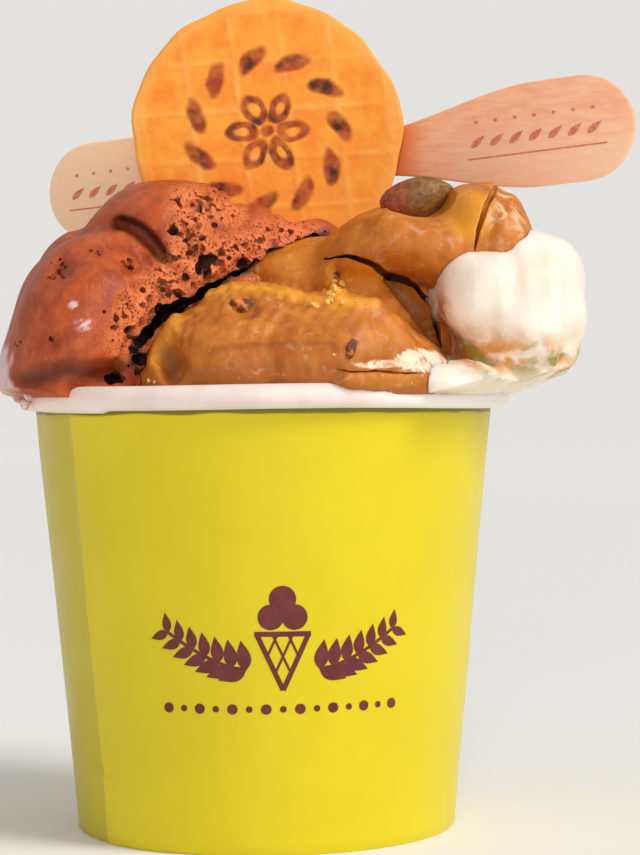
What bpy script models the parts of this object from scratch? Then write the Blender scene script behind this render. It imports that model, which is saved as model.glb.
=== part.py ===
"""A paper tub heaped with gelato: chocolate, pistachio and cream, with a round wafer, a wooden paddle and a
pistachio kernel. Metres, +Z up. The tub's front looks along -Y."""

import math

import bmesh
import bpy
import numpy as np
from mathutils import Euler, Matrix, Vector, noise

MM = 0.001

# Paper tub, measured across its outer faces
CUP_HEIGHT = 84.0
RIM_RADIUS = 47.0
RIM_ROLL_HEIGHT = 4.4
WALL_TOP_RADIUS = 43.7
WALL_FOOT_RADIUS = 36.15
PAPER = 0.7
FOOT_RING_WIDTH = 1.6
FOOT_RING_HEIGHT = 6.4
ROUND_STEPS = 48

# What keeps touching pieces apart
GAP = 0.35

# Round wafer, standing upright in the heap
WAFER_RADIUS = 26.5
WAFER_THICKNESS = 2.6
WAFER_CENTRE = (1.1, 8.0, 133.5)

# Wooden paddle, standing on its long edge behind the wafer
PADDLE_LENGTH = 125.0
PADDLE_END_HALF_WIDTH = 10.2
PADDLE_WAIST_HALF_WIDTH = 4.2
PADDLE_THICKNESS = 1.6
PADDLE_CENTRE = (13.5, 16.6, 129.2)
PADDLE_TURN = -22.0
PADDLE_RISE = 4.4

# Pistachio kernel on the right scoop
KERNEL_LENGTH = 13.6
KERNEL_WIDTH = 9.6
KERNEL_CENTRE = (29.0, -13.0, 119.4)

# How finely the soft masses are modelled, and how many triangles each keeps
SOFT_VOXEL = 0.85
CHOCOLATE_TRIANGLES = 3300
PISTACHIO_TRIANGLES = 3450
CREAM_TRIANGLES = 1100

# Upright planes between the flavours inside the tub, and a distance past everything
LEFT_PLANE = -14.0
RIGHT_PLANE = 24.0
FAR = 90.0

# Which side of a mass a groove is pressed into, as the sign of Y
FRONT = -1
BACK = 1

# Soft lobes: centre x, y, z, then half-sizes x, y, z, then the turn about Y in degrees, then how boxy each is
CHOCOLATE_LOBES = {
    "left dome": (-33.2, -10.0, 90.5, 15.4, 25.0, 22.3, 16.0, 1.0),
    "top lobe": (-17.5, 0.0, 104.0, 20.0, 21.0, 20.3, 0.0, 1.0),
    "crest behind the dome": (-30.0, 2.0, 99.0, 14.0, 18.0, 16.0, 0.0, 1.0),
    "right shoulder": (-1.5, 2.0, 102.5, 15.0, 15.0, 15.5, 10.0, 1.0),
    "crest's right end": (9.0, 3.0, 103.5, 9.0, 10.0, 11.5, 0.0, 1.0),
    "torn face": (-16.0, -10.0, 92.0, 14.0, 15.0, 15.0, -20.0, 1.0),
    "back": (-20.0, 22.0, 99.0, 25.0, 20.0, 21.0, 0.0, 1.0),
    "mound behind the wafer": (0.0, 19.0, 107.0, 17.0, 13.0, 18.0, 0.0, 1.0),
    "back fold": (-9.0, 29.0, 92.0, 19.0, 13.0, 15.0, 12.0, 0.9),
    "left back": (-36.0, 10.0, 89.0, 12.5, 20.0, 14.0, 0.0, 1.0),
    "low left": (-22.0, 4.0, 84.0, 24.0, 37.0, 7.0, 0.0, 1.0),
}
PISTACHIO_LOBES = {
    "slab left": (-3.0, -17.0, 87.0, 21.0, 26.0, 15.2, -14.0, 0.8),
    "slab middle": (9.0, -19.0, 87.0, 20.0, 25.0, 13.4, 0.0, 0.8),
    "slab right": (21.0, -19.0, 84.5, 15.5, 22.0, 11.0, 18.0, 0.9),
    "back wedge": (10.5, 1.0, 98.0, 18.0, 19.0, 15.0, -8.0, 0.9),
    "wedge right slope": (18.0, -8.0, 94.0, 15.0, 16.0, 14.0, 30.0, 0.9),
    "scoop underside": (31.0, -1.0, 93.0, 13.0, 17.0, 15.0, 0.0, 1.0),
    "scoop left fold": (22.0, -9.0, 109.0, 12.5, 17.0, 5.6, -22.0, 0.9),
    "scoop middle": (29.5, -10.0, 109.5, 13.0, 19.0, 6.8, 12.0, 0.85),
    "scoop crown": (40.8, -10.0, 108.0, 10.5, 17.0, 14.3, 0.0, 0.9),
    "back right": (24.0, 20.0, 98.0, 24.0, 19.0, 19.0, 0.0, 1.0),
    "back middle": (13.0, 30.0, 90.0, 21.0, 13.5, 15.0, -10.0, 0.9),
    "right back": (37.0, 12.0, 91.0, 11.5, 20.0, 15.0, 0.0, 0.9),
    "low right": (20.0, 6.0, 84.0, 26.0, 37.0, 7.0, 0.0, 1.0),
    "lip over the rim": (21.5, -40.0, 84.2, 9.5, 3.4, 2.4, 0.0, 0.9),
}
CREAM_LOBES = {
    "ball": (46.8, -12.0, 98.5, 13.4, 20.0, 14.6, 0.0, 0.9),
    "lower ball": (47.0, -12.0, 91.5, 12.0, 18.0, 9.5, -12.0, 0.9),
    "melt on the rim": (36.0, -29.0, 83.6, 11.5, 11.0, 4.2, 4.0, 1.0),
}

# Hollows in the front: x, z, radius, depth
CHOCOLATE_PITS = [
    (-36.3, 105.1, 2.2, 1.4),
    (-30.3, 108.6, 1.2, 0.7),
    (-24.8, 105.8, 1.5, 0.9),
    (-44.3, 92.0, 1.1, 0.9),
    (-37.2, 91.6, 1.3, 0.9),
    (-27.6, 85.8, 1.7, 3.0),
]
PISTACHIO_PITS = [
    (-3.4, 97.9, 2.9, 1.8),
    (-16.9, 88.7, 2.2, 1.6),
]

# Nut chips: x, z, half-sizes x, y, z, turn about Y in degrees
NUT_CHIPS = [
    (-3.0, 97.7, 2.4, 1.2, 1.3, 12.0),
    (15.4, 90.0, 0.7, 0.7, 1.3, 25.0),
    (9.6, 98.6, 0.8, 0.7, 0.8, 0.0),
    (13.6, 104.2, 0.7, 0.6, 0.6, 40.0),
    (14.4, 102.0, 0.8, 0.7, 0.7, 10.0),
    (13.0, 100.6, 0.6, 0.6, 0.6, 0.0),
]


def clear_scene():
    for old in list(bpy.data.objects):
        bpy.data.objects.remove(old)


def finish_material(name, colour, roughness, metallic=0.0):
    material = bpy.data.materials.new(name)
    material.use_nodes = True
    shader = material.node_tree.nodes["Principled BSDF"]
    shader.inputs["Base Color"].default_value = (*colour, 1.0)
    shader.inputs["Roughness"].default_value = roughness
    shader.inputs["Metallic"].default_value = metallic
    return material


def object_from(mesh_builder, name, material=None):
    """One object from a bmesh drawn in millimetres."""
    bmesh.ops.scale(mesh_builder, vec=(MM, MM, MM), verts=mesh_builder.verts)
    mesh = bpy.data.meshes.new(name)
    mesh_builder.to_mesh(mesh)
    mesh_builder.free()
    piece = bpy.data.objects.new(name, mesh)
    bpy.context.scene.collection.objects.link(piece)
    if material:
        mesh.materials.append(material)
    return piece


def turned(profile, steps=ROUND_STEPS):
    """A closed outline of (radius, height) points, turned once round the Z axis."""
    body = bmesh.new()
    points = [body.verts.new((radius, 0.0, height)) for radius, height in profile]
    edges = [body.edges.new((a, b)) for a, b in zip(points, points[1:] + points[:1])]
    bmesh.ops.spin(
        body, geom=points + edges, axis=(0, 0, 1), cent=(0, 0, 0), angle=2 * math.pi, steps=steps, use_merge=True
    )
    bmesh.ops.remove_doubles(body, verts=body.verts, dist=1e-4)
    bmesh.ops.recalc_face_normals(body, faces=body.faces)
    return body


def wall_radius(height):
    """The paper wall's outer radius at a height."""
    roll_foot = CUP_HEIGHT - RIM_ROLL_HEIGHT
    return WALL_FOOT_RADIUS + (WALL_TOP_RADIUS - WALL_FOOT_RADIUS) * height / roll_foot


def roll_arc(grow=0.0, points=9):
    """The rolled rim's section, from its underside, round its outer side, to its inner side."""
    middle_height = CUP_HEIGHT - RIM_ROLL_HEIGHT / 2
    inner_radius = wall_radius(middle_height) - PAPER
    middle_radius = (inner_radius + RIM_RADIUS) / 2
    half_width = (RIM_RADIUS - inner_radius) / 2 + grow
    half_height = RIM_ROLL_HEIGHT / 2 + grow
    start = math.radians(-125)
    for step in range(points):
        angle = start + (math.pi - start) * step / (points - 1)
        yield middle_radius + half_width * math.cos(angle), middle_height + half_height * math.sin(angle)


def make_cup_wall(material):
    base_height = FOOT_RING_HEIGHT
    ring_top = (wall_radius(base_height) - FOOT_RING_WIDTH, base_height)
    profile = [
        (WALL_FOOT_RADIUS - FOOT_RING_WIDTH, 0.0),
        (WALL_FOOT_RADIUS, 0.0),
        *roll_arc(),
        (wall_radius(base_height) - PAPER, base_height),
        ring_top,
    ]
    return object_from(turned(profile), "cup_wall", material)


def make_cup_base(material):
    under = FOOT_RING_HEIGHT + GAP
    radius = wall_radius(under) - PAPER - GAP
    body = bmesh.new()
    bmesh.ops.create_cone(
        body, cap_ends=True, segments=ROUND_STEPS, radius1=radius, radius2=radius, depth=PAPER
    )
    bmesh.ops.translate(body, verts=body.verts, vec=(0, 0, under + PAPER / 2))
    return object_from(body, "cup_base", material)


def evaluated_mesh(piece):
    """The object's mesh with its modifiers taken in, and the modifiers gone."""
    graph = bpy.context.evaluated_depsgraph_get()
    mesh = bpy.data.meshes.new_from_object(piece.evaluated_get(graph))
    piece.modifiers.clear()
    piece.data = mesh
    return mesh


def combine(target, other, operation):
    """Adds or cuts one solid with another, for good, and removes the second. The manifold solver is used
    because the exact one fails on the rough skins."""
    step = target.modifiers.new(operation.title(), "BOOLEAN")
    step.operation = operation
    step.solver = "MANIFOLD"
    step.object = other
    evaluated_mesh(target)
    bpy.data.objects.remove(other)


def drop_scraps(piece):
    """Keeps the largest of the bodies that the cuts have left."""
    body = bmesh.new()
    body.from_mesh(piece.data)
    unseen = set(body.verts)
    bodies = []
    while unseen:
        seed = unseen.pop()
        found = {seed}
        edge_of_search = [seed]
        while edge_of_search:
            vertex = edge_of_search.pop()
            for edge in vertex.link_edges:
                other = edge.other_vert(vertex)
                if other in unseen:
                    unseen.remove(other)
                    found.add(other)
                    edge_of_search.append(other)
        bodies.append(found)
    bodies.sort(key=len)
    scraps = [vertex for scrap in bodies[:-1] for vertex in scrap]
    bmesh.ops.delete(body, geom=scraps, context="VERTS")
    body.to_mesh(piece.data)
    body.free()


def add_ellipsoid(body, lobe, detail=4):
    """One lobe. Below 1 its roundness makes it boxier."""
    x, y, z, half_x, half_y, half_z, turn, roundness = lobe
    place = (
        Matrix.Translation((x, y, z))
        @ Euler((0, math.radians(turn), 0)).to_matrix().to_4x4()
        @ Matrix.Diagonal((half_x, half_y, half_z, 1.0))
    )
    ball = bmesh.ops.create_icosphere(body, subdivisions=detail, radius=1.0)
    for vertex in ball["verts"]:
        vertex.co = Vector([math.copysign(abs(part) ** roundness, part) for part in vertex.co])
    bmesh.ops.transform(body, verts=ball["verts"], matrix=place)


def wrap(piece, relax_steps=0):
    """One even skin over everything in the mesh."""
    skin = piece.modifiers.new("Skin", "REMESH")
    skin.mode = "VOXEL"
    skin.voxel_size = SOFT_VOXEL * MM
    if relax_steps:
        relax = piece.modifiers.new("Relax", "SMOOTH")
        relax.factor = 0.5
        relax.iterations = relax_steps
    evaluated_mesh(piece)


def soft_mass(name, lobes, material):
    """Lobes run together into one skin."""
    body = bmesh.new()
    for lobe in lobes.values():
        add_ellipsoid(body, lobe)
    piece = object_from(body, name, material)
    wrap(piece, relax_steps=3)
    return piece


def distance_to_path(points, path):
    """How far each (x, z) point lies from a line through the path's points."""
    nearest = np.full(len(points), np.inf)
    path = np.array(path, dtype=float)
    for start, end in zip(path[:-1], path[1:]):
        run = end - start
        share = np.clip((points - start) @ run / (run @ run), 0.0, 1.0)
        away = np.linalg.norm(points - (start + share[:, None] * run), axis=1)
        nearest = np.minimum(nearest, away)
    return nearest


def read_skin(piece):
    """The vertices and their normals in millimetres, as arrays."""
    count = len(piece.data.vertices)
    places = np.empty(count * 3)
    normals = np.empty(count * 3)
    piece.data.vertices.foreach_get("co", places)
    piece.data.vertex_normals.foreach_get("vector", normals)
    return places.reshape(-1, 3) / MM, normals.reshape(-1, 3)


def write_skin(piece, places):
    piece.data.vertices.foreach_set("co", (places * MM).ravel())
    piece.data.update()


def press_path(piece, path, half_width, depth, side=FRONT):
    """A groove in the front or back of a mass, along a line of (x, z) points. A negative depth raises a ridge."""
    places, normals = read_skin(piece)
    away = distance_to_path(places[:, [0, 2]], path)
    shape = np.clip(1.0 - (away / half_width) ** 2, 0.0, None)
    faces_side = np.clip(normals[:, 1] * side * 3.0 + 0.5, 0.0, 1.0)
    places -= normals * (depth * shape * faces_side)[:, None]
    write_skin(piece, places)


def press_pits(piece, pits):
    """Round hollows in the front: each has its x, z, radius and depth."""
    for x, z, radius, depth in pits:
        press_path(piece, [(x - 0.01, z), (x + 0.01, z)], radius, depth)


def roughen(piece, size, height, region=None):
    """Uneven lumps of one size, all over or in an oval region (x, z, half-width, half-height) of the front."""
    places, normals = read_skin(piece)
    lumps = np.array([noise.noise(Vector(place) / size) for place in places])
    if region:
        x, z, half_width, half_height = region
        away = np.hypot((places[:, 0] - x) / half_width, (places[:, 2] - z) / half_height)
        lumps *= np.clip((1.0 - away) * 3.0, 0.0, 1.0) * (normals[:, 1] < 0.3)
    places += normals * (lumps * height)[:, None]
    write_skin(piece, places)


def front_place(piece, x, z):
    """Where a line from the front first meets a mass, in millimetres."""
    hit, place, _, _ = piece.ray_cast(Vector((x * MM, -0.1, z * MM)), Vector((0, 1, 0)))
    return place / MM if hit else Vector((x, 0, z))


def fuse_chips(piece, chips):
    """Nut chips pressed into the surface: x, z, the three half-sizes, and the turn about Y in degrees."""
    group = bpy.data.collections.new("chips")
    for x, z, half_x, half_y, half_z, turn in chips:
        body = bmesh.new()
        add_ellipsoid(body, (0, 0, 0, half_x, half_y, half_z, turn, 0.8), detail=1)
        bmesh.ops.translate(body, verts=body.verts, vec=front_place(piece, x, z))
        chip = object_from(body, "chip")
        bpy.context.scene.collection.objects.unlink(chip)
        group.objects.link(chip)
    bpy.context.scene.collection.children.link(group)
    step = piece.modifiers.new("Chips", "BOOLEAN")
    step.operation = "UNION"
    step.operand_type = "COLLECTION"
    step.collection = group
    evaluated_mesh(piece)
    for chip in list(group.objects):
        bpy.data.objects.remove(chip)
    bpy.data.collections.remove(group)


def thin_out(piece, triangles):
    """A clean skin again over what was pressed into it, with fewer faces for the same form."""
    wrap(piece)
    drop_scraps(piece)
    count = sum(len(face.vertices) - 2 for face in piece.data.polygons)
    fewer = piece.modifiers.new("Fewer", "DECIMATE")
    fewer.ratio = min(1.0, triangles / count)
    evaluated_mesh(piece)


def grown_copy(piece, margin=GAP):
    """A cutter: the same solid, larger by a margin all round."""
    copy = piece.copy()
    copy.data = piece.data.copy()
    bpy.context.scene.collection.objects.link(copy)
    body = bmesh.new()
    body.from_mesh(copy.data)
    body.normal_update()
    for vertex in body.verts:
        vertex.co += vertex.normal * margin * MM
    body.to_mesh(copy.data)
    body.free()
    return copy


def make_fill(left, right):
    """The part of the tub's contents between two upright planes."""
    floor = FOOT_RING_HEIGHT + 2 * GAP + PAPER
    top = CUP_HEIGHT - 1.0
    inner = [wall_radius(height) - PAPER - GAP for height in (floor, top)]
    body = bmesh.new()
    bmesh.ops.create_cone(
        body, cap_ends=True, segments=ROUND_STEPS, radius1=inner[0], radius2=inner[1] - 0.2, depth=top - floor
    )
    bmesh.ops.translate(body, verts=body.verts, vec=(0, 0, (top + floor) / 2))
    for x, outwards in ((left, -1), (right, 1)):
        cut = bmesh.ops.bisect_plane(
            body,
            geom=body.verts[:] + body.edges[:] + body.faces[:],
            plane_co=(x, 0, 0),
            plane_no=(outwards, 0, 0),
            clear_outer=True,
        )
        rim = [part for part in cut["geom_cut"] if isinstance(part, bmesh.types.BMEdge)]
        if rim:
            bmesh.ops.contextual_create(body, geom=rim)
    bmesh.ops.recalc_face_normals(body, faces=body.faces)
    return object_from(body, "fill")


def make_tub_cutter():
    """Everything the gelato stays out of: the wall, the rolled rim, and the space outside below the rim."""
    low = -5.0
    inner_gap = PAPER + GAP
    hang = CUP_HEIGHT - 1.0
    profile = [(wall_radius(low) - inner_gap, low), (FAR, low), (FAR, hang + 16.0), (58.0, hang + 3.0), (50.5, hang)]
    outline = [point for point in roll_arc(GAP, 13) if point[1] > CUP_HEIGHT - RIM_ROLL_HEIGHT + 1.0]
    return object_from(turned(profile + outline), "tub_cutter")


def make_wafer(material, grow=0.0):
    """A thin round biscuit on edge, a little uneven round its rim."""
    radius = WAFER_RADIUS + grow
    thickness = WAFER_THICKNESS + 2 * grow
    body = bmesh.new()
    bmesh.ops.create_cone(body, cap_ends=True, segments=56, radius1=radius, radius2=radius, depth=thickness)
    for vertex in body.verts:
        angle = math.atan2(vertex.co.y, vertex.co.x)
        wave = 0.25 * math.sin(5 * angle + 0.6) + 0.2 * math.sin(9 * angle) + 0.12 * math.sin(17 * angle + 1.0)
        vertex.co.xy *= 1.0 + wave / WAFER_RADIUS
    rims = [edge for edge in body.edges if edge.is_manifold and abs(edge.verts[0].co.z - edge.verts[1].co.z) < 1e-6]
    bmesh.ops.bevel(
        body, geom=rims, offset=0.7, offset_type="OFFSET", segments=2, profile=0.5, affect="EDGES", material=-1
    )
    caps = [face for face in body.faces if len(face.verts) > 8]
    bmesh.ops.poke(body, faces=caps)
    bmesh.ops.rotate(body, verts=body.verts, cent=(0, 0, 0), matrix=Matrix.Rotation(math.radians(90), 3, "X"))
    bmesh.ops.translate(body, verts=body.verts, vec=WAFER_CENTRE)
    return object_from(body, "wafer", material)


def paddle_half_width(along):
    """Half the paddle's width at a distance from its middle: a waist, two broad ends, and round tips."""
    taper_start = 8.0
    taper_end = 44.0
    share = min(1.0, max(0.0, (abs(along) - taper_start) / (taper_end - taper_start)))
    blend = share * share * (3 - 2 * share)
    width = PADDLE_WAIST_HALF_WIDTH + (PADDLE_END_HALF_WIDTH - PADDLE_WAIST_HALF_WIDTH) * blend
    tip = abs(along) - (PADDLE_LENGTH / 2 - PADDLE_END_HALF_WIDTH)
    if tip > 0:
        width *= math.sqrt(max(0.0, 1 - (tip / PADDLE_END_HALF_WIDTH) ** 2))
    return width


def paddle_outline(grow):
    """Points round the outline, close together at the round tips."""
    stations = 30
    reach = PADDLE_LENGTH / 2
    upper = []
    for step in range(1, stations):
        along = -reach * math.cos(math.pi * step / stations)
        upper.append((along, paddle_half_width(along)))
    lower = [(along, -width) for along, width in reversed(upper)]
    ring = [(-reach, 0.0), *upper, (reach, 0.0), *lower]
    return [(x * (1 + grow / reach), y * (1 + grow / PADDLE_END_HALF_WIDTH)) for x, y in ring]


def make_paddle(material, grow=0.0):
    thickness = PADDLE_THICKNESS + 2 * grow
    body = bmesh.new()
    ring = [body.verts.new((x, 0.0, z)) for x, z in paddle_outline(grow)]
    face = body.faces.new(ring)
    pushed = bmesh.ops.extrude_face_region(body, geom=[face])
    moved = [part for part in pushed["geom"] if isinstance(part, bmesh.types.BMVert)]
    bmesh.ops.translate(body, verts=moved, vec=(0, thickness, 0))
    bmesh.ops.translate(body, verts=body.verts, vec=(0, -thickness / 2, 0))
    bmesh.ops.recalc_face_normals(body, faces=body.faces)
    edges = [edge for edge in body.edges if abs(edge.verts[0].co.y - edge.verts[1].co.y) < 1e-6]
    bmesh.ops.bevel(
        body, geom=edges, offset=0.35, offset_type="OFFSET", segments=1, profile=0.5, affect="EDGES", material=-1
    )
    turn = Euler((0, math.radians(-PADDLE_RISE), math.radians(PADDLE_TURN)), "XYZ")
    bmesh.ops.rotate(body, verts=body.verts, cent=(0, 0, 0), matrix=turn.to_matrix())
    bmesh.ops.translate(body, verts=body.verts, vec=PADDLE_CENTRE)
    return object_from(body, "paddle", material)


def make_kernel(material, grow=0.0):
    """A shelled nut: blunt at its left end, drawn out to a point at its right."""
    body = bmesh.new()
    bmesh.ops.create_uvsphere(body, u_segments=14, v_segments=9, radius=1.0)
    bmesh.ops.rotate(body, verts=body.verts, cent=(0, 0, 0), matrix=Matrix.Rotation(math.radians(90), 3, "Y"))
    for vertex in body.verts:
        x, y, z = vertex.co
        narrowing = 1.0 - 0.34 * max(0.0, x) ** 2
        flat_top = 0.78 if z > 0 else 1.0
        vertex.co = (
            x * (KERNEL_LENGTH / 2 + grow),
            y * (KERNEL_WIDTH * 0.42 + grow) * narrowing,
            (z * flat_top * narrowing + 0.16 * x) * (KERNEL_WIDTH / 2 + grow),
        )
    bmesh.ops.translate(body, verts=body.verts, vec=KERNEL_CENTRE)
    bmesh.ops.recalc_face_normals(body, faces=body.faces)
    return object_from(body, "pistachio_kernel", material)


def shape_chocolate(piece):
    """The torn right side, the fold between the two lobes, and the bubbles and cracks in the smooth dome."""
    roughen(piece, 11.0, 1.1)
    roughen(piece, 3.2, 2.6, (-5.5, 114.5, 13.0, 11.0))
    roughen(piece, 3.0, 2.6, (-16.0, 101.0, 10.5, 12.0))
    press_path(piece, [(-27.5, 114.0), (-24.5, 113.7), (-21.2, 111.8), (-18.8, 108.9), (-17.8, 106.8)], 1.5, 3.4)
    press_path(piece, [(-17.8, 106.8), (-24.0, 104.5), (-26.0, 98.0)], 1.2, 0.4)
    press_path(piece, [(-44.0, 86.0), (-38.0, 87.3), (-31.0, 86.2), (-26.0, 86.8)], 1.4, 1.5)
    press_path(piece, [(-44.0, 96.0), (-34.0, 106.0), (-22.0, 110.0), (-12.0, 106.0), (-6.0, 98.0)], 2.2, 1.8, BACK)
    press_path(piece, [(-30.0, 90.0), (-20.0, 97.0), (-10.0, 99.0)], 2.0, 1.5, BACK)
    press_pits(piece, CHOCOLATE_PITS)
    thin_out(piece, CHOCOLATE_TRIANGLES)


def shape_pistachio(piece):
    """The slab's raised upper edge, the pocket and notch in it, the scoop's undercut edge and its knife cut."""
    roughen(piece, 12.0, 0.9)
    slab_edge = [(-10.5, 100.6), (-6.0, 101.6), (0.0, 101.4), (5.0, 100.0), (10.0, 99.0), (15.0, 98.8), (20.0, 98.2)]
    slab_end = [(20.0, 98.2), (23.5, 95.4), (25.5, 91.5)]
    press_path(piece, slab_edge, 1.7, -1.1)
    press_path(piece, slab_end, 1.6, -0.7)
    press_path(piece, [(x, z + 2.6) for x, z in slab_edge], 1.4, 0.8)
    press_path(piece, [(-19.6, 87.5), (-17.6, 92.5), (-14.6, 96.6)], 1.5, -0.9)
    scoop_edge = [(12.0, 107.6), (16.5, 107.6), (20.5, 106.0), (25.0, 103.6), (28.0, 103.0), (31.0, 100.6)]
    press_path(piece, scoop_edge, 1.5, 1.8)
    press_path(piece, [(43.6, 121.5), (40.8, 115.6), (39.2, 111.4), (38.6, 107.4)], 1.1, 2.6)
    press_path(piece, [(6.0, 96.0), (14.0, 104.0), (26.0, 107.0), (38.0, 101.0)], 2.2, 1.8, BACK)
    press_path(piece, [(4.0, 89.0), (16.0, 94.0), (30.0, 95.0), (40.0, 90.0)], 2.0, 1.4, BACK)
    press_pits(piece, PISTACHIO_PITS)
    thin_out(piece, PISTACHIO_TRIANGLES)
    fuse_chips(piece, NUT_CHIPS)


def shape_cream(piece):
    """Faint upright flutes from the spatula, and a lumpy outline."""
    roughen(piece, 7.0, 1.5)
    for flute in range(5):
        x = 38.5 + 4.2 * flute
        press_path(piece, [(x, 110.0), (x + 0.8, 90.0)], 1.5, 0.35)
    roughen(piece, 2.6, 1.6, (48.0, 87.5, 13.0, 6.0))
    thin_out(piece, CREAM_TRIANGLES)


def stand_at_origin():
    """Puts the middle of the whole object's footprint at the origin, with the tub's foot at height zero."""
    pieces = [piece for piece in bpy.data.objects if piece.type == "MESH"]
    corners = np.array([corner for piece in pieces for corner in piece.bound_box])
    middle = (corners.min(axis=0) + corners.max(axis=0)) / 2
    for piece in pieces:
        piece.location = (-middle[0], -middle[1], 0.0)


def main():
    clear_scene()
    paper_yellow = finish_material("yellow_paper", (0.80, 0.74, 0.03), 0.4)
    paper_white = finish_material("white_paper", (0.85, 0.82, 0.78), 0.6)
    chocolate_finish = finish_material("chocolate_gelato", (0.32, 0.09, 0.03), 0.4)
    pistachio_finish = finish_material("pistachio_gelato", (0.50, 0.25, 0.06), 0.4)
    cream_finish = finish_material("cream_gelato", (0.92, 0.80, 0.68), 0.4)
    wafer_finish = finish_material("wafer_biscuit", (0.85, 0.42, 0.10), 0.7)
    wood_finish = finish_material("birch_wood", (0.85, 0.50, 0.30), 0.65)
    nut_finish = finish_material("pistachio_nut", (0.25, 0.10, 0.04), 0.55)

    make_cup_wall(paper_yellow)
    make_cup_base(paper_white)
    make_wafer(wafer_finish)
    make_paddle(wood_finish)
    make_kernel(nut_finish)

    pistachio = soft_mass("gelato_pistachio", PISTACHIO_LOBES, pistachio_finish)
    shape_pistachio(pistachio)
    chocolate = soft_mass("gelato_chocolate", CHOCOLATE_LOBES, chocolate_finish)
    shape_chocolate(chocolate)
    cream = soft_mass("gelato_cream", CREAM_LOBES, cream_finish)
    shape_cream(cream)

    combine(pistachio, make_fill(LEFT_PLANE, RIGHT_PLANE), "UNION")
    combine(chocolate, make_fill(-FAR, LEFT_PLANE + 1.0), "UNION")
    combine(cream, make_fill(RIGHT_PLANE - 1.0, FAR), "UNION")
    combine(chocolate, grown_copy(pistachio), "DIFFERENCE")
    combine(cream, grown_copy(pistachio), "DIFFERENCE")
    for mass in (pistachio, chocolate, cream):
        combine(mass, make_tub_cutter(), "DIFFERENCE")
        combine(mass, make_wafer(wafer_finish, GAP), "DIFFERENCE")
        combine(mass, make_paddle(wood_finish, GAP), "DIFFERENCE")
        combine(mass, make_kernel(nut_finish, GAP), "DIFFERENCE")
        drop_scraps(mass)
    stand_at_origin()


main()
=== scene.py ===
"""A paper tub heaped with gelato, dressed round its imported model. Lengths are in millimetres from the tub's
axis and from its foot, and each finished mesh is moved to its place in the frame, in metres."""

import math
import random

import bmesh
import bpy
import numpy as np
from mathutils import Euler, Matrix, Vector, noise
from mathutils.bvhtree import BVHTree


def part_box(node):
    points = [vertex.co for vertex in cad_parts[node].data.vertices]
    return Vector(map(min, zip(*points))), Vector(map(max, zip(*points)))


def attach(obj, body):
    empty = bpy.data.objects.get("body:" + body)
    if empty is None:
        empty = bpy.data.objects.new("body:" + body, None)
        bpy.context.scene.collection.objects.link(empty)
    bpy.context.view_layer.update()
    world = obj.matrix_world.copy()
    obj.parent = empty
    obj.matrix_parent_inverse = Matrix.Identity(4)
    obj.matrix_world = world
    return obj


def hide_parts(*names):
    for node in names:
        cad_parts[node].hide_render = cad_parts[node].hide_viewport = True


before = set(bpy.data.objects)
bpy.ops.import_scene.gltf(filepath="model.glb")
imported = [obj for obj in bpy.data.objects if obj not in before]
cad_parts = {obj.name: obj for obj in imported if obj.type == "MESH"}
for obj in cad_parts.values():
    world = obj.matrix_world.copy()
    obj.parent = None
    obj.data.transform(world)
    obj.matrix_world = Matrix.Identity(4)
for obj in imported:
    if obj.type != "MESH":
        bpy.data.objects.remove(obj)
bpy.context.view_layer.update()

# The view: from 450 mm in front of the tub, level with the rolled rim's foot, looking a little to the
# tub's right and rolled half a degree, with a long lens and no blur.
MM = 0.001
wall_low, wall_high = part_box("cup_wall")
tub_axis = Vector(((wall_low.x + wall_high.x) / 2, (wall_low.y + wall_high.y) / 2, 0.0))
CAMERA_DISTANCE = 450.0
CAMERA_HEIGHT = 79.4
LENS = 98.1
SENSOR_WIDTH = 36.0
LOOK_RIGHT = 1.377
LOOK_DOWN = 0.43
CAMERA_ROLL = -0.45

camera_data = bpy.data.cameras.new("camera")
camera_data.lens = LENS
camera_data.sensor_width = SENSOR_WIDTH
camera_data.clip_start = 0.01
camera = bpy.data.objects.new("camera", camera_data)
bpy.context.scene.collection.objects.link(camera)
camera.location = tub_axis + Vector((0.0, -CAMERA_DISTANCE, CAMERA_HEIGHT)) * MM
aim = Euler((math.radians(90.0 - LOOK_DOWN), 0.0, math.radians(-LOOK_RIGHT))).to_matrix()
camera.rotation_euler = (aim @ Matrix.Rotation(math.radians(CAMERA_ROLL), 3, "Z")).to_euler()
bpy.context.scene.camera = camera


# The tub's wall: one sheet of coated board, printed yellow, rolled into a cone and glued where its edges
# overlap, left of the front. Its foot is folded inwards round the base.
CUP_HEIGHT = 84.0
RIM_RADIUS = 47.0
RIM_ROLL_HEIGHT = 4.4
WALL_TOP_RADIUS = 43.7
WALL_FOOT_RADIUS = 36.15
BOARD = 0.7
FOOT_RING_WIDTH = 1.6
FOOT_RING_HEIGHT = 6.4
FOOT_BEVEL = 0.4
FOOT_EASE = 0.35
WALL_TOP = CUP_HEIGHT - 2.4
WALL_STEPS = 240
WALL_ROWS = 46
SEAM_EDGE = -53.5
SEAM_UNDER_EDGE = -38.0
SEAM_FADED = -24.0
SEAM_LIFT = 0.34
# Painted shade on the wall left of the seam grows from the first azimuth to the second.
SEAM_SHADE_START = -125.0
SEAM_SHADE_FULL = -85.0
CREASE_HEIGHT = 13.4
CREASE_AZIMUTH = -55.0
CREASE_DEPTH = 0.4
CREASE_HALF_ANGLE = 9.0
YELLOW = (224, 205, 14)
YELLOW_WORN = (200, 180, 46)
RIM_SHADE = (114, 108, 28)
# The colour of the painted shade left of the seam.
SEAM_SIDE_SHADE = (196, 178, 20)
RIM_SHADE_FOOT = 78.85


def paint(red, green, blue):
    """A colour from its 0 to 255 screen values, as a shader takes it."""
    shares = [value / 255 for value in (red, green, blue)]
    linear = [share / 12.92 if share <= 0.04045 else ((share + 0.055) / 1.055) ** 2.4 for share in shares]
    return (*linear, 1.0)


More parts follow.
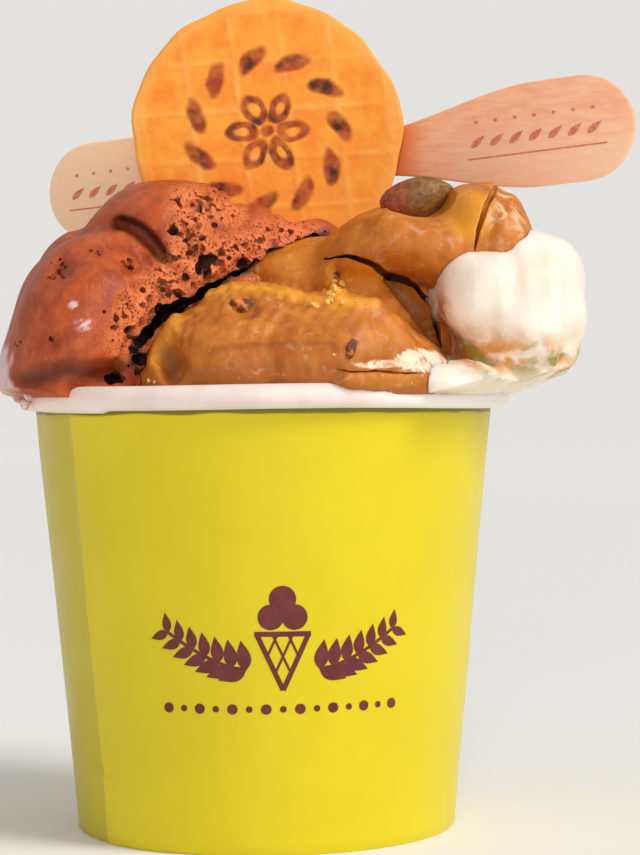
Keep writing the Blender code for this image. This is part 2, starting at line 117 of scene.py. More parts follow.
def add_node(tree, kind, properties=None, inputs=None):
    """One shader node. An input is given a number, a vector, a colour, or another node's output."""
    node = tree.nodes.new("ShaderNode" + kind)
    for name, value in (properties or {}).items():
        setattr(node, name, value)
    for socket, value in (inputs or {}).items():
        if isinstance(value, bpy.types.NodeSocket):
            tree.links.new(value, node.inputs[socket])
        else:
            node.inputs[socket].default_value = value
    return node


def make_mottling():
    """The node group behind every uneven finish: two colours run into each other in patches of one size."""
    group = bpy.data.node_groups.new("mottling", "ShaderNodeTree")
    sockets = (
        ("Place", "NodeSocketVector", None),
        ("Patch Size", "NodeSocketFloat", 5.0),
        ("Detail", "NodeSocketFloat", 3.0),
        ("Twist", "NodeSocketFloat", 0.0),
        ("From", "NodeSocketFloat", 0.35),
        ("To", "NodeSocketFloat", 0.65),
        ("First Colour", "NodeSocketColor", (0.0, 0.0, 0.0, 1.0)),
        ("Second Colour", "NodeSocketColor", (1.0, 1.0, 1.0, 1.0)),
    )
    for name, kind, start in sockets:
        socket = group.interface.new_socket(name, in_out="INPUT", socket_type=kind)
        if start is not None:
            socket.default_value = start
    group.interface.new_socket("Colour", in_out="OUTPUT", socket_type="NodeSocketColor")
    group.interface.new_socket("Mask", in_out="OUTPUT", socket_type="NodeSocketFloat")
    given = group.nodes.new("NodeGroupInput")
    result = group.nodes.new("NodeGroupOutput")
    density = add_node(group, "Math", {"operation": "DIVIDE"}, {0: 1.0, 1: given.outputs["Patch Size"]})
    cloud = add_node(
        group,
        "TexNoise",
        inputs={
            "Vector": given.outputs["Place"],
            "Scale": density.outputs[0],
            "Detail": given.outputs["Detail"],
            "Distortion": given.outputs["Twist"],
        },
    )
    step = add_node(
        group,
        "MapRange",
        {"interpolation_type": "SMOOTHSTEP"},
        {"Value": cloud.outputs["Fac"], "From Min": given.outputs["From"], "From Max": given.outputs["To"]},
    )
    blend = add_node(
        group,
        "Mix",
        {"data_type": "RGBA"},
        {0: step.outputs["Result"], 6: given.outputs["First Colour"], 7: given.outputs["Second Colour"]},
    )
    group.links.new(blend.outputs[2], result.inputs["Colour"])
    group.links.new(step.outputs["Result"], result.inputs["Mask"])
    return group


mottling = make_mottling()


class Finish:
    """A material as it is built up: its shader, and the place on the object in millimetres."""

    def __init__(self, name, roughness):
        self.material = bpy.data.materials.new(name)
        self.material.use_nodes = True
        self.tree = self.material.node_tree
        self.shader = self.tree.nodes["Principled BSDF"]
        self.shader.inputs["Roughness"].default_value = roughness
        coordinates = add_node(self.tree, "TexCoord")
        inputs = {0: coordinates.outputs["Object"], "Scale": 1 / MM}
        self.place = self.add("VectorMath", {"operation": "SCALE"}, inputs).outputs[0]

    def add(self, kind, properties=None, inputs=None):
        return add_node(self.tree, kind, properties, inputs)

    def constant(self, **values):
        """Sets the shader's own sockets, named with underscores for spaces."""
        for name, value in values.items():
            self.shader.inputs[name.replace("_", " ")].default_value = value

    def patches(
        self, size, first=(0, 0, 0), second=(255, 255, 255), low=0.35, high=0.65, detail=3.0, twist=0.0,
        place=None,
    ):
        """Two colours in patches of a size, by the mottling group. Gives its colour and its mask."""
        inputs = {
            "Place": place or self.place,
            "Patch Size": size,
            "Detail": detail,
            "Twist": twist,
            "From": low,
            "To": high,
            "First Colour": paint(*first),
            "Second Colour": paint(*second),
        }
        node = self.add("Group", {"node_tree": mottling}, inputs)
        return node.outputs["Colour"], node.outputs["Mask"]

    def mix(self, share, first, second):
        """One colour over another, by a share from 0 to 1."""
        inputs = {0: share, 6: first, 7: second}
        for key in (6, 7):
            if isinstance(inputs[key], tuple):
                inputs[key] = paint(*inputs[key])
        return self.add("Mix", {"data_type": "RGBA"}, inputs).outputs[2]

    def work(self, operation, first, second=0.0, third=0.0):
        """Arithmetic on masks."""
        return self.add("Math", {"operation": operation}, {0: first, 1: second, 2: third}).outputs[0]

    def tinted(self, tone, *layers):
        """A tone with colours laid over it in turn. Each layer is a mask, its strength and its colour."""
        for mask, strength, colour in layers:
            tone = self.mix(self.work("MULTIPLY", mask, strength), tone, colour)
        return tone

    def painted(self, name):
        """A mask stored on the mesh's points."""
        return self.add("Attribute", {"attribute_name": name}).outputs["Fac"]

    def stretched(self, scale, turn=(0.0, 0.0, 0.0), place=None):
        """The place on the object, turned and stretched."""
        rotation = [math.radians(angle) for angle in turn]
        inputs = {"Vector": place or self.place, "Rotation": rotation, "Scale": scale}
        return self.add("Mapping", None, inputs).outputs[0]

    def colour(self, source):
        self.tree.links.new(source, self.shader.inputs["Base Color"])

    def gloss(self, mask, low, high):
        """Roughness that runs from one value to another over a mask."""
        spread = self.add("MapRange", None, {"Value": mask, "To Min": low, "To Max": high})
        self.tree.links.new(spread.outputs["Result"], self.shader.inputs["Roughness"])

    def coordinate(self, axis):
        """The place's X, Y or Z in millimetres from the tub's axis and foot."""
        part = self.add("SeparateXYZ", None, {0: self.place}).outputs[axis]
        return self.work("SUBTRACT", part, tub_axis[axis] / MM)

    def rise(self, value, start, end):
        """A mask that rises smoothly from 0 at one value to 1 at another."""
        inputs = {"Value": value, "From Min": start, "From Max": end}
        return self.add("MapRange", {"interpolation_type": "SMOOTHSTEP"}, inputs).outputs["Result"]

    def relief(self, *layers):
        """Bumps laid over one another: pairs of a height mask and its height in millimetres."""
        normal = None
        for mask, height in layers:
            inputs = {"Height": mask, "Distance": height * MM, "Strength": 1.0}
            if normal:
                inputs["Normal"] = normal
            normal = self.add("Bump", None, inputs).outputs[0]
        self.tree.links.new(normal, self.shader.inputs["Normal"])


def object_from(body, name, finish=None):
    """One object from a bmesh drawn in millimetres, with smooth faces and sharp corners."""
    bmesh.ops.scale(body, vec=(MM, MM, MM), verts=body.verts)
    mesh = bpy.data.meshes.new(name)
    body.to_mesh(mesh)
    body.free()
    mesh.shade_smooth()
    mesh.set_sharp_from_angle(angle=math.radians(50))
    piece = bpy.data.objects.new(name, mesh)
    bpy.context.scene.collection.objects.link(piece)
    if finish:
        mesh.materials.append(finish.material)
    return piece


def set_in_frame(piece):
    """Moves a finished mesh from the tub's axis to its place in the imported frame."""
    piece.data.transform(Matrix.Translation(tub_axis))


def turn_body(body, degrees, axis):
    """Turns everything in a bmesh about one axis through its origin."""
    turn = Matrix.Rotation(math.radians(degrees), 3, axis)
    bmesh.ops.rotate(body, verts=body.verts, cent=(0, 0, 0), matrix=turn)


def turned(profile, steps):
    """A closed outline of (radius, height) points, turned once round the Z axis."""
    body = bmesh.new()
    points = [body.verts.new((radius, 0.0, height)) for radius, height in profile]
    edges = [body.edges.new((a, b)) for a, b in zip(points, points[1:] + points[:1])]
    outline = points + edges
    bmesh.ops.spin(
        body, geom=outline, axis=(0, 0, 1), cent=(0, 0, 0), angle=2 * math.pi, steps=steps, use_merge=True
    )
    bmesh.ops.remove_doubles(body, verts=body.verts, dist=1e-4)
    bmesh.ops.recalc_face_normals(body, faces=body.faces)
    return body


def wall_radius(height):
    """The wall's outer radius at a height."""
    roll_foot = CUP_HEIGHT - RIM_ROLL_HEIGHT
    return WALL_FOOT_RADIUS + (WALL_TOP_RADIUS - WALL_FOOT_RADIUS) * height / roll_foot


def azimuth_of(place):
    """The angle round the tub in degrees: 0 at the front, positive to the right."""
    return math.degrees(math.atan2(place.x, -place.y))


def ease(value, start, end):
    """0 before start, 1 after end, smooth between."""
    share = min(1.0, max(0.0, (value - start) / (end - start)))
    return share * share * (3 - 2 * share)


def seam_lift(azimuth):
    """How far the overlapping edge stands proud of the wall."""
    if azimuth < SEAM_EDGE:
        return 0.0
    return SEAM_LIFT * (1.0 - ease(azimuth, SEAM_UNDER_EDGE, SEAM_FADED))


def board_wave(angle, height):
    """How far the board bows out at a place on the wall. Its foot and the rim hold it in shape."""
    free = ease(height, 0.0, 12.0) * (1.0 - ease(height, 70.0, 80.0))
    uneven = noise.noise(Vector((angle * 1.6, height / 45.0, 3.0)))
    return (0.16 * math.sin(3 * angle + 1.0) + 0.35 * uneven) * free


def shape_wall(body):
    """The glued overlap, the board's slight waves, a small crease above the foot, and painted shade left of
    the seam.
    """
    column = 360.0 / WALL_STEPS
    seam_side_shade = body.verts.layers.float.new("seam_side_shade")
    for vertex in body.verts:
        azimuth = azimuth_of(vertex.co)
        left_of_seam = 1.0 - ease(azimuth, SEAM_EDGE, SEAM_EDGE + 0.5)
        vertex[seam_side_shade] = ease(azimuth, SEAM_SHADE_START, SEAM_SHADE_FULL) * left_of_seam
        if SEAM_EDGE < azimuth < SEAM_EDGE + 1.6 * column:
            snapped = math.radians(SEAM_EDGE + 0.25)
            radius = vertex.co.xy.length
            vertex.co.x, vertex.co.y = radius * math.sin(snapped), -radius * math.cos(snapped)
        height = vertex.co.z
        radius = vertex.co.xy.length
        lift = board_wave(math.radians(azimuth), height)
        if radius > wall_radius(height) - BOARD / 2:
            along = (azimuth - CREASE_AZIMUTH) / CREASE_HALF_ANGLE
            crease = max(0.0, 1.0 - (height - CREASE_HEIGHT) ** 2) * max(0.0, 1.0 - along ** 2)
            lift += seam_lift(azimuth) - CREASE_DEPTH * crease
        vertex.co.xy *= (radius + lift) / radius


crease_heights = np.linspace(CREASE_HEIGHT - 1.5, CREASE_HEIGHT + 1.5, 9)
heights = sorted([*np.linspace(0.5, WALL_TOP, WALL_ROWS), *crease_heights])
wall_profile = [
    (WALL_FOOT_RADIUS - FOOT_RING_WIDTH, FOOT_BEVEL),
    (WALL_FOOT_RADIUS - FOOT_RING_WIDTH + FOOT_BEVEL, 0.0),
    (WALL_FOOT_RADIUS - FOOT_EASE, 0.0),
    *[(wall_radius(height), height) for height in heights],
    (wall_radius(WALL_TOP) - BOARD, WALL_TOP),
    (wall_radius(FOOT_RING_HEIGHT) - BOARD, FOOT_RING_HEIGHT),
    (wall_radius(FOOT_RING_HEIGHT) - FOOT_RING_WIDTH, FOOT_RING_HEIGHT),
]
wall_body = turned(wall_profile, WALL_STEPS)
turn_body(wall_body, SEAM_EDGE, "Z")
for face in wall_body.faces:
    middle = face.calc_center_median()
    face.material_index = 1 if middle.xy.length < wall_radius(middle.z) - 0.5 * BOARD else 0
shape_wall(wall_body)

yellow_print = Finish("yellow_print", 0.36)
yellow_tone, _ = yellow_print.patches(24.0, YELLOW, tuple(value - 5 for value in YELLOW), 0.3, 0.7)
_, scuffs = yellow_print.patches(1.6, low=0.70, high=0.80, detail=5.0)
_, board_waves = yellow_print.patches(9.0, low=0.2, high=0.8, detail=1.0)
wavy_height = yellow_print.work("MULTIPLY_ADD", board_waves, 0.4, yellow_print.coordinate(2))
# Painted shade: the wall is darker left of the seam, and in a wavy band just under the rolled rim.
yellow_print.colour(yellow_print.tinted(
    yellow_tone,
    (scuffs, 0.2, YELLOW_WORN),
    (yellow_print.painted("seam_side_shade"), 0.8, SEAM_SIDE_SHADE),
    (yellow_print.rise(wavy_height, RIM_SHADE_FOOT, RIM_SHADE_FOOT + 0.4), 0.9, RIM_SHADE),
))
_, board_grain = yellow_print.patches(0.35, low=0.2, high=0.8, detail=2.0)
yellow_print.relief((board_waves, 0.10), (board_grain, 0.006))
yellow_print.gloss(board_waves, 0.34, 0.46)
yellow_print.constant(Coat_Weight=0.15, Coat_Roughness=0.10, Specular_IOR_Level=0.3)

bare_board = Finish("bare_board", 0.62)
board_tone, _ = bare_board.patches(2.5, (231, 221, 212), (240, 233, 226), detail=5.0)
bare_board.colour(board_tone)
upright = bare_board.stretched((1.0, 1.0, 0.35))
_, fibre = bare_board.patches(0.3, low=0.2, high=0.8, detail=3.0, place=upright)
bare_board.relief((fibre, 0.012))
bare_board.constant(Subsurface_Weight=0.05, Subsurface_Radius=(0.002, 0.0015, 0.001))

cup_wall = object_from(wall_body, "paper_wall", yellow_print)
cup_wall.data.materials.append(bare_board.material)
set_in_frame(cup_wall)
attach(cup_wall, "root")
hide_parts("cup_wall")


# The rolled rim: the wall's unprinted top edge, curled outwards and down. It is a little lower left of the
# seam, where one thickness of board ends inside the curl.
RIM_ROLL_POINTS = 30
RIM_STEP = 0.45
RIM_NOTCH_DEPTH = 0.22
RIM_NOTCH_HALF_ANGLE = 1.4
roll_middle_height = CUP_HEIGHT - RIM_ROLL_HEIGHT / 2
roll_inner_radius = wall_radius(roll_middle_height) - BOARD
roll_middle_radius = (roll_inner_radius + RIM_RADIUS) / 2


def roll_section(grow=0.0, points=RIM_ROLL_POINTS):
    """The curl's oval section as (radius, height) points, from its inner side down, out and up."""
    half_width = (RIM_RADIUS - roll_inner_radius) / 2 + grow
    half_height = RIM_ROLL_HEIGHT / 2 + grow
    for step in range(points):
        angle = math.pi + 2 * math.pi * step / points
        radius = roll_middle_radius + half_width * math.cos(angle)
        yield radius, roll_middle_height + half_height * math.sin(angle)


rim_body = turned(list(roll_section()), WALL_STEPS)
turn_body(rim_body, SEAM_UNDER_EDGE, "Z")
for vertex in rim_body.verts:
    azimuth = azimuth_of(vertex.co)
    left_of_step = 1.0 - ease(azimuth, SEAM_UNDER_EDGE - 0.6, SEAM_UNDER_EDGE + 0.2)
    fades_left = ease(azimuth, SEAM_EDGE - 25.0, SEAM_EDGE)
    below = ease(roll_middle_height - vertex.co.z, -0.6, 1.6)
    vertex.co.z -= RIM_STEP * left_of_step * fades_left * below
    notch = max(0.0, 1.0 - ((azimuth - SEAM_UNDER_EDGE) / RIM_NOTCH_HALF_ANGLE) ** 2)
    sway = 0.10 * math.sin(math.radians(azimuth) * 5) + 0.05 * math.sin(math.radians(azimuth) * 11 + 1)
    radius = vertex.co.xy.length
    vertex.co.xy *= (radius + sway - RIM_NOTCH_DEPTH * notch * below) / radius
    vertex.co.z += 0.12 * math.sin(math.radians(azimuth) * 4 + 0.5)

rim_board = Finish("rim_board", 0.42)
rim_tone, _ = rim_board.patches(7.0, (235, 215, 208), (242, 226, 219), detail=4.0)
_, smears = rim_board.patches(5.0, low=0.60, high=0.80, detail=4.0)
across = rim_board.coordinate(0)
# Painted light: the rim is warmer and lighter towards its left end, a painted reflection of the chocolate
# above it, and lighter towards its right end, a painted highlight.
rim_board.colour(rim_board.tinted(
    rim_tone,
    (smears, 0.3, (236, 204, 184)),
    (rim_board.rise(across, -16.0, -44.0), 1.0, (255, 232, 216)),
    (rim_board.rise(across, 12.0, 34.0), 1.0, (253, 247, 240)),
))
_, rim_grain = rim_board.patches(0.5, low=0.2, high=0.8)
rim_board.relief((rim_grain, 0.01))
rim_board.constant(Subsurface_Weight=0.08, Subsurface_Radius=(0.002, 0.0015, 0.001), Specular_IOR_Level=0.4)

cup_rim = object_from(rim_body, "rolled_rim", rim_board)
set_in_frame(cup_rim)
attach(cup_rim, "root")
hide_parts("cup_wall")


# The tub's base: a disc of the same board, unprinted, held in the folded foot. It shows only from below.
cup_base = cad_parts["cup_base"]
cup_base.data.materials.clear()
cup_base.data.materials.append(bare_board.material)


# The print on the front: a plain decoration in dark red ink, a cone of ice between two leafy sprigs with a
# row of dots under it, standing a hair above the coated board.
INK = (98, 23, 23)
INK_HEIGHT = 0.06
PRINT_CENTRE_HEIGHT = 37.6
PRINT_SHIFT = 3.0
SPRIG_LEAVES = 7
SPRIG_START = 6.5
SPRIG_REACH = 21.0
CONE_TOP = 2.4
CONE_FOOT = -7.6
CONE_HALF_WIDTH = 4.6
CONE_LINE = 0.45
LATTICE_LINE = 0.22
STEM_LINE = 0.3
SCOOPS = ((-2.1, 5.4, 2.3), (2.1, 5.4, 2.3), (0.0, 8.6, 2.4))
DOT_PITCH = 3.0
DOT_ROW = -11.0


def add_patch(body, half_width, start, end, outline, rows=8, columns=4):
    """A flat shape from start to end, as a fine grid. Its outline gives the share of the half-width."""
    grid = bmesh.ops.create_grid(body, x_segments=columns, y_segments=rows, size=1.0)
    run = Vector(end) - Vector(start)
    across = Vector((run.y, -run.x)).normalized()
    for vertex in grid["verts"]:
        along = (vertex.co.y + 1.0) / 2
        side = vertex.co.x * half_width * outline(along)
        place = Vector(start) + run * along + across * side
        vertex.co = (place.x, place.y, 0.0)
    return grid["verts"]


def leaf_outline(along):
    """Widest just before the middle and pointed at both ends."""
    return math.sin(math.pi * along ** 0.8) * (1.0 - 0.25 * along)


def disc_outline(along):
    """A round dot."""
    return math.sqrt(max(0.0, 1.0 - (2 * along - 1) ** 2))


def bar_outline(along):
    """The same width all along."""
    return 1.0


print_body = bmesh.new()
for side in (-1, 1):
    for leaf in range(SPRIG_LEAVES):
        share = leaf / (SPRIG_LEAVES - 1)
        root = Vector((side * (SPRIG_START + (SPRIG_REACH - SPRIG_START) * share), -4.0 + 6.5 * share ** 1.5))
        for lean in (62.0, -38.0):
            angle = math.radians(lean + 18.0)
            reach = 5.4 - 1.8 * share
            tip = root + reach * Vector((side * math.cos(angle), math.sin(angle)))
            add_patch(print_body, 0.27 * reach, root, tip, leaf_outline)
        if leaf:
            add_patch(print_body, STEM_LINE, stem_end, root, bar_outline, rows=4, columns=1)
        stem_end = root
for x, y, radius in SCOOPS:
    add_patch(print_body, radius, (x, y - radius), (x, y + radius), disc_outline, rows=28)
for side in (-1, 1):
    reach = side * CONE_HALF_WIDTH
    add_patch(print_body, CONE_LINE, (reach, CONE_TOP), (0.0, CONE_FOOT), bar_outline, rows=12, columns=1)
    for share in (0.3, 0.6):
        start = (reach * (1 - 2 * share), CONE_TOP)
        crossing = (-reach * share, CONE_TOP - (CONE_TOP - CONE_FOOT) * (1 - share))
        add_patch(print_body, LATTICE_LINE, start, crossing, bar_outline, rows=12, columns=1)
lip = CONE_HALF_WIDTH + 0.4
add_patch(print_body, CONE_LINE, (-lip, CONE_TOP), (lip, CONE_TOP), bar_outline, columns=1)
for dot in range(-7, 8):
    x = dot * DOT_PITCH
    radius = 0.95 if dot % 2 else 0.6
    add_patch(print_body, radius, (x, DOT_ROW - radius), (x, DOT_ROW + radius), disc_outline, rows=12)
bmesh.ops.remove_doubles(print_body, verts=print_body.verts, dist=1e-4)
for vertex in print_body.verts:
    height = PRINT_CENTRE_HEIGHT + vertex.co.y
    angle = (vertex.co.x + PRINT_SHIFT) / wall_radius(height)
    radius = wall_radius(height) + board_wave(angle, height) + seam_lift(math.degrees(angle)) + INK_HEIGHT
    vertex.co = (radius * math.sin(angle), -radius * math.cos(angle), height)
bmesh.ops.recalc_face_normals(print_body, faces=print_body.faces)
for face in print_body.faces:
    if face.normal.dot(face.calc_center_median()) < 0:
        face.normal_flip()

red_ink = Finish("red_ink", 0.38)
ink_tone, ink_mask = red_ink.patches(3.0, INK, tuple(value + 14 for value in INK), detail=4.0)
red_ink.colour(ink_tone)
red_ink.gloss(ink_mask, 0.32, 0.45)
cup_print = object_from(print_body, "cup_print", red_ink)
set_in_frame(cup_print)
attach(cup_print, "root")


# Pistachio gelato: the largest flavour. It fills the middle of the tub, lies as a slab across the front, and
# stands as a scoop on the right. A flat spatula pressed it in, which left strokes and torn edges.
GAP = 0.2
PISTACHIO_VOXEL = 0.6
LEFT_PLANE = -14.0
RIGHT_PLANE = 24.0
FAR = 90.0
FRONT = -1
BACK = 1
FRONT_END = 8.0
WAFER_RADIUS = 26.5
WAFER_THICKNESS = 2.6
WAFER_CENTRE = (1.1, 8.0, 133.5)
WAFER_FILLET = 0.7
PISTACHIO_LOBES = {
    "slab left": (-2.0, -17.0, 86.8, 19.4, 26.0, 15.0, -16.0, 0.88),
    "slab foot left": (-12.5, -26.0, 84.0, 10.6, 14.0, 5.6, 0.0, 0.9),
    "slab middle": (9.0, -19.0, 87.0, 20.0, 25.0, 13.4, 0.0, 0.8),
    "slab right": (21.0, -19.0, 84.5, 15.5, 22.0, 11.0, 18.0, 0.9),
    "back wedge": (10.5, 1.0, 98.0, 18.0, 19.0, 15.0, -8.0, 0.9),
    "wedge right slope": (18.0, -8.0, 94.0, 15.0, 16.0, 14.0, 30.0, 0.9),
    "scoop underside": (31.0, -1.0, 93.0, 13.0, 17.0, 15.0, 0.0, 1.0),
    "scoop left fold": (22.0, -9.0, 109.0, 12.5, 17.0, 5.6, -22.0, 0.9),
    "scoop middle": (29.5, -10.0, 109.5, 13.0, 19.0, 6.8, 12.0, 0.85),
    "scoop crown": (40.8, -10.0, 108.0, 10.5, 17.0, 14.3, 0.0, 0.9),
    "back right": (24.0, 20.0, 98.0, 24.0, 19.0, 19.0, 0.0, 1.0),
    "back middle": (13.0, 30.0, 90.0, 21.0, 13.5, 15.0, -10.0, 0.9),
    "right back": (37.0, 12.0, 91.0, 11.5, 20.0, 15.0, 0.0, 0.9),
    "low right": (20.0, 6.0, 84.0, 26.0, 37.0, 7.0, 0.0, 1.0),
    "scoop left crest": (18.6, -9.0, 110.6, 10.0, 13.0, 4.8, -32.0, 0.9),
}
PISTACHIO_LAPS = [
    (19.5, 84.9, 2.2), (24.5, 84.8, 2.5), (29.5, 84.8, 2.6), (34.5, 84.8, 2.5), (40.0, 85.0, 2.2),
]
LAP_RADIUS = 45.4
LAP_HALF_WIDTH = 3.6
LAP_HALF_DEPTH = 3.2
PISTACHIO_PITS = [(-3.4, 97.9, 2.9, 1.8)]


def evaluated_mesh(piece):
    """Takes the object's modifiers into its mesh."""
    graph = bpy.context.evaluated_depsgraph_get()
    mesh = bpy.data.meshes.new_from_object(piece.evaluated_get(graph))
    piece.modifiers.clear()
    piece.data = mesh


def depth_below(piece, form, chosen):
    """How deep each chosen point lies under an earlier form of the mass."""
    places, _ = read_skin(piece)
    depth = np.zeros(len(places))
    for index in np.flatnonzero(chosen):
        place = Vector(places[index] * MM)
        nearest, normal, _, distance = form.find_nearest(place)
        if (place - nearest).dot(normal) < 0:
            depth[index] = distance / MM
    return depth


def combine(target, other, operation):
    """Adds or cuts one solid with another, for good, and removes the second."""
    step = target.modifiers.new(operation.title(), "BOOLEAN")
    step.operation = operation
    step.solver = "MANIFOLD"
    step.object = other
    evaluated_mesh(target)
    bpy.data.objects.remove(other)


def add_lobe(body, lobe, detail=5):
    """One oval lobe. Below 1 its roundness makes it boxier."""
    x, y, z, half_x, half_y, half_z, turn, roundness = lobe
    place = (
        Matrix.Translation((x, y, z))
        @ Euler((0, math.radians(turn), 0)).to_matrix().to_4x4()
        @ Matrix.Diagonal((half_x, half_y, half_z, 1.0))
    )
    ball = bmesh.ops.create_icosphere(body, subdivisions=detail, radius=1.0)
    for vertex in ball["verts"]:
        vertex.co = Vector([math.copysign(abs(part) ** roundness, part) for part in vertex.co])
    bmesh.ops.transform(body, verts=ball["verts"], matrix=place)


def wrap(piece, voxel, relax_steps=0):
    """One even skin over everything in the mesh."""
    skin = piece.modifiers.new("Skin", "REMESH")
    skin.mode = "VOXEL"
    skin.voxel_size = voxel * MM
    if relax_steps:
        relax = piece.modifiers.new("Relax", "SMOOTH")
        relax.factor = 0.5
        relax.iterations = relax_steps
    evaluated_mesh(piece)


def soft_mass(name, lobes, voxel, laps=()):
    """Lobes run together into one skin. A lap over the rim has its azimuth, height and half-height."""
    body = bmesh.new()
    for lobe in lobes.values():
        add_lobe(body, lobe)
    for azimuth, height, half_height in laps:
        angle = math.radians(azimuth)
        place = (LAP_RADIUS * math.sin(angle), -LAP_RADIUS * math.cos(angle), height)
        add_lobe(body, (*place, LAP_HALF_WIDTH, LAP_HALF_DEPTH, half_height, 0.0, 1.0))
    piece = object_from(body, name)
    wrap(piece, voxel, relax_steps=6)
    return piece


def distance_to_path(points, path):
    """How far each (x, z) point lies from a line through the path's points."""
    nearest = np.full(len(points), np.inf)
    path = np.array(path, dtype=float)
    for start, end in zip(path[:-1], path[1:]):
        run = end - start
        share = np.clip((points - start) @ run / (run @ run), 0.0, 1.0)
        away = np.linalg.norm(points - (start + share[:, None] * run), axis=1)
        nearest = np.minimum(nearest, away)
    return nearest


def near_path(places, path, middle, reach, most=1.0):
    """A mask along a path, as seen from the front. It has its middle value on the path and falls to 0."""
    return np.clip(middle - distance_to_path(places[:, [0, 2]], path) / reach, 0.0, most)


def read_skin(piece):
    """The points and their normals in millimetres, as arrays."""
    count = len(piece.data.vertices)
    places = np.empty(count * 3)
    normals = np.empty(count * 3)
    piece.data.vertices.foreach_get("co", places)
    piece.data.vertex_normals.foreach_get("vector", normals)
    return places.reshape(-1, 3) / MM, normals.reshape(-1, 3)


def write_skin(piece, places):
    """Puts the points, in millimetres, back into the mesh."""
    piece.data.vertices.foreach_set("co", (places * MM).ravel())
    piece.data.update()


def press_paths(piece, paths, half_width, depth, side=FRONT):
    """Grooves in the front or back of a mass, along (x, z) paths. A negative depth raises ridges."""
    places, normals = read_skin(piece)
    away = np.minimum.reduce([distance_to_path(places[:, [0, 2]], path) for path in paths])
    shape = np.clip(1.0 - (away / half_width) ** 2, 0.0, None)
    faces_side = np.clip(normals[:, 1] * side * 3.0 + 0.5, 0.0, 1.0)
    places -= normals * (depth * shape * faces_side)[:, None]
    write_skin(piece, places)


def press_each(piece, *grooves):
    """Grooves pressed one after another: each is a path, its half-width, its depth and its side."""
    for path, half_width, depth, side in grooves:
        press_paths(piece, [path], half_width, depth, side)


def press_pits(piece, pits):
    """Round hollows in the front: each has its x, z, radius and depth."""
    for x, z, radius, depth in pits:
        press_paths(piece, [[(x - 0.01, z), (x + 0.01, z)]], radius, depth)


def oval_share(places, region):
    """1 inside an oval region (x, z, half-width, half-height) of the front, 0 outside, soft at its edge."""
    x, z, half_width, half_height = region
    away = np.hypot((places[:, 0] - x) / half_width, (places[:, 2] - z) / half_height)
    return np.clip((1.0 - away) * 3.0, 0.0, 1.0)


def lumps_at(places, size):
    """Smooth unevenness of one size, from -1 to 1."""
    return np.array([noise.noise(Vector(place) / size) for place in places])


def roughen(piece, size, height, region=None, side=FRONT):
    """Uneven lumps of one size, all over or in one region of the front or back."""
    places, normals = read_skin(piece)
    lumps = lumps_at(places, size)
    if region:
        lumps *= oval_share(places, region) * (normals[:, 1] * side > -0.3) * (places[:, 1] * side > -10.0)
    places += normals * (lumps * height)[:, None]
    write_skin(piece, places)


def grown_copy(piece, margin=GAP):
    """A cutter: the same solid, larger by a margin all round."""
    copy = piece.copy()
    copy.data = piece.data.copy()
    bpy.context.scene.collection.objects.link(copy)
    places, normals = read_skin(copy)
    write_skin(copy, places + normals * margin)
    return copy


def drop_scraps(piece):
    """Keeps the largest of the bodies that the cuts have left."""
    body = bmesh.new()
    body.from_mesh(piece.data)
    unseen = set(body.verts)
    bodies = []
    while unseen:
        found = {unseen.pop()}
        front = list(found)
        while front:
            for edge in front.pop().link_edges:
                for other in edge.verts:
                    if other in unseen:
                        unseen.remove(other)
                        found.add(other)
                        front.append(other)
        bodies.append(found)
    bodies.sort(key=len)
    scraps = [vertex for scrap in bodies[:-1] for vertex in scrap]
    bmesh.ops.delete(body, geom=scraps, context="VERTS")
    body.to_mesh(piece.data)
    body.free()


def make_fill(left, right):
    """The part of the tub's contents between two upright planes."""
    floor = FOOT_RING_HEIGHT + 2 * GAP + BOARD
    top = CUP_HEIGHT - 1.0
    inner = [wall_radius(height) - BOARD - GAP for height in (floor, top)]
    body = bmesh.new()
    bmesh.ops.create_cone(
        body, cap_ends=True, segments=96, radius1=inner[0], radius2=inner[1] - 0.2, depth=top - floor
    )
    bmesh.ops.translate(body, verts=body.verts, vec=(0, 0, (top + floor) / 2))
    for x, outwards in ((left, -1), (right, 1)):
        cut = bmesh.ops.bisect_plane(
            body,
            geom=body.verts[:] + body.edges[:] + body.faces[:],
            plane_co=(x, 0, 0),
            plane_no=(outwards, 0, 0),
            clear_outer=True,
        )
        rim = [part for part in cut["geom_cut"] if isinstance(part, bmesh.types.BMEdge)]
        if rim:
            bmesh.ops.contextual_create(body, geom=rim)
    bmesh.ops.recalc_face_normals(body, faces=body.faces)
    return object_from(body, "fill")


def make_tub_cutter():
    """Everything the gelato stays out of: the wall, the rolled rim, and the space outside below the rim."""
    low = -5.0
    hang = CUP_HEIGHT - 1.0
    hang_start, hang_bend = 50.5, 58.0
    outside = [
        (wall_radius(low) - BOARD - GAP, low),
        (FAR, low),
        (FAR, hang + 16.0),
        (hang_bend, hang + 3.0),
        (hang_start, hang),
    ]
    curl = [point for point in roll_section(0.05, 60) if point[1] > roll_middle_height]
    curl.sort(key=lambda point: -math.atan2(point[1] - roll_middle_height, roll_middle_radius - point[0]))
    return object_from(turned(outside + curl, 96), "tub_cutter")


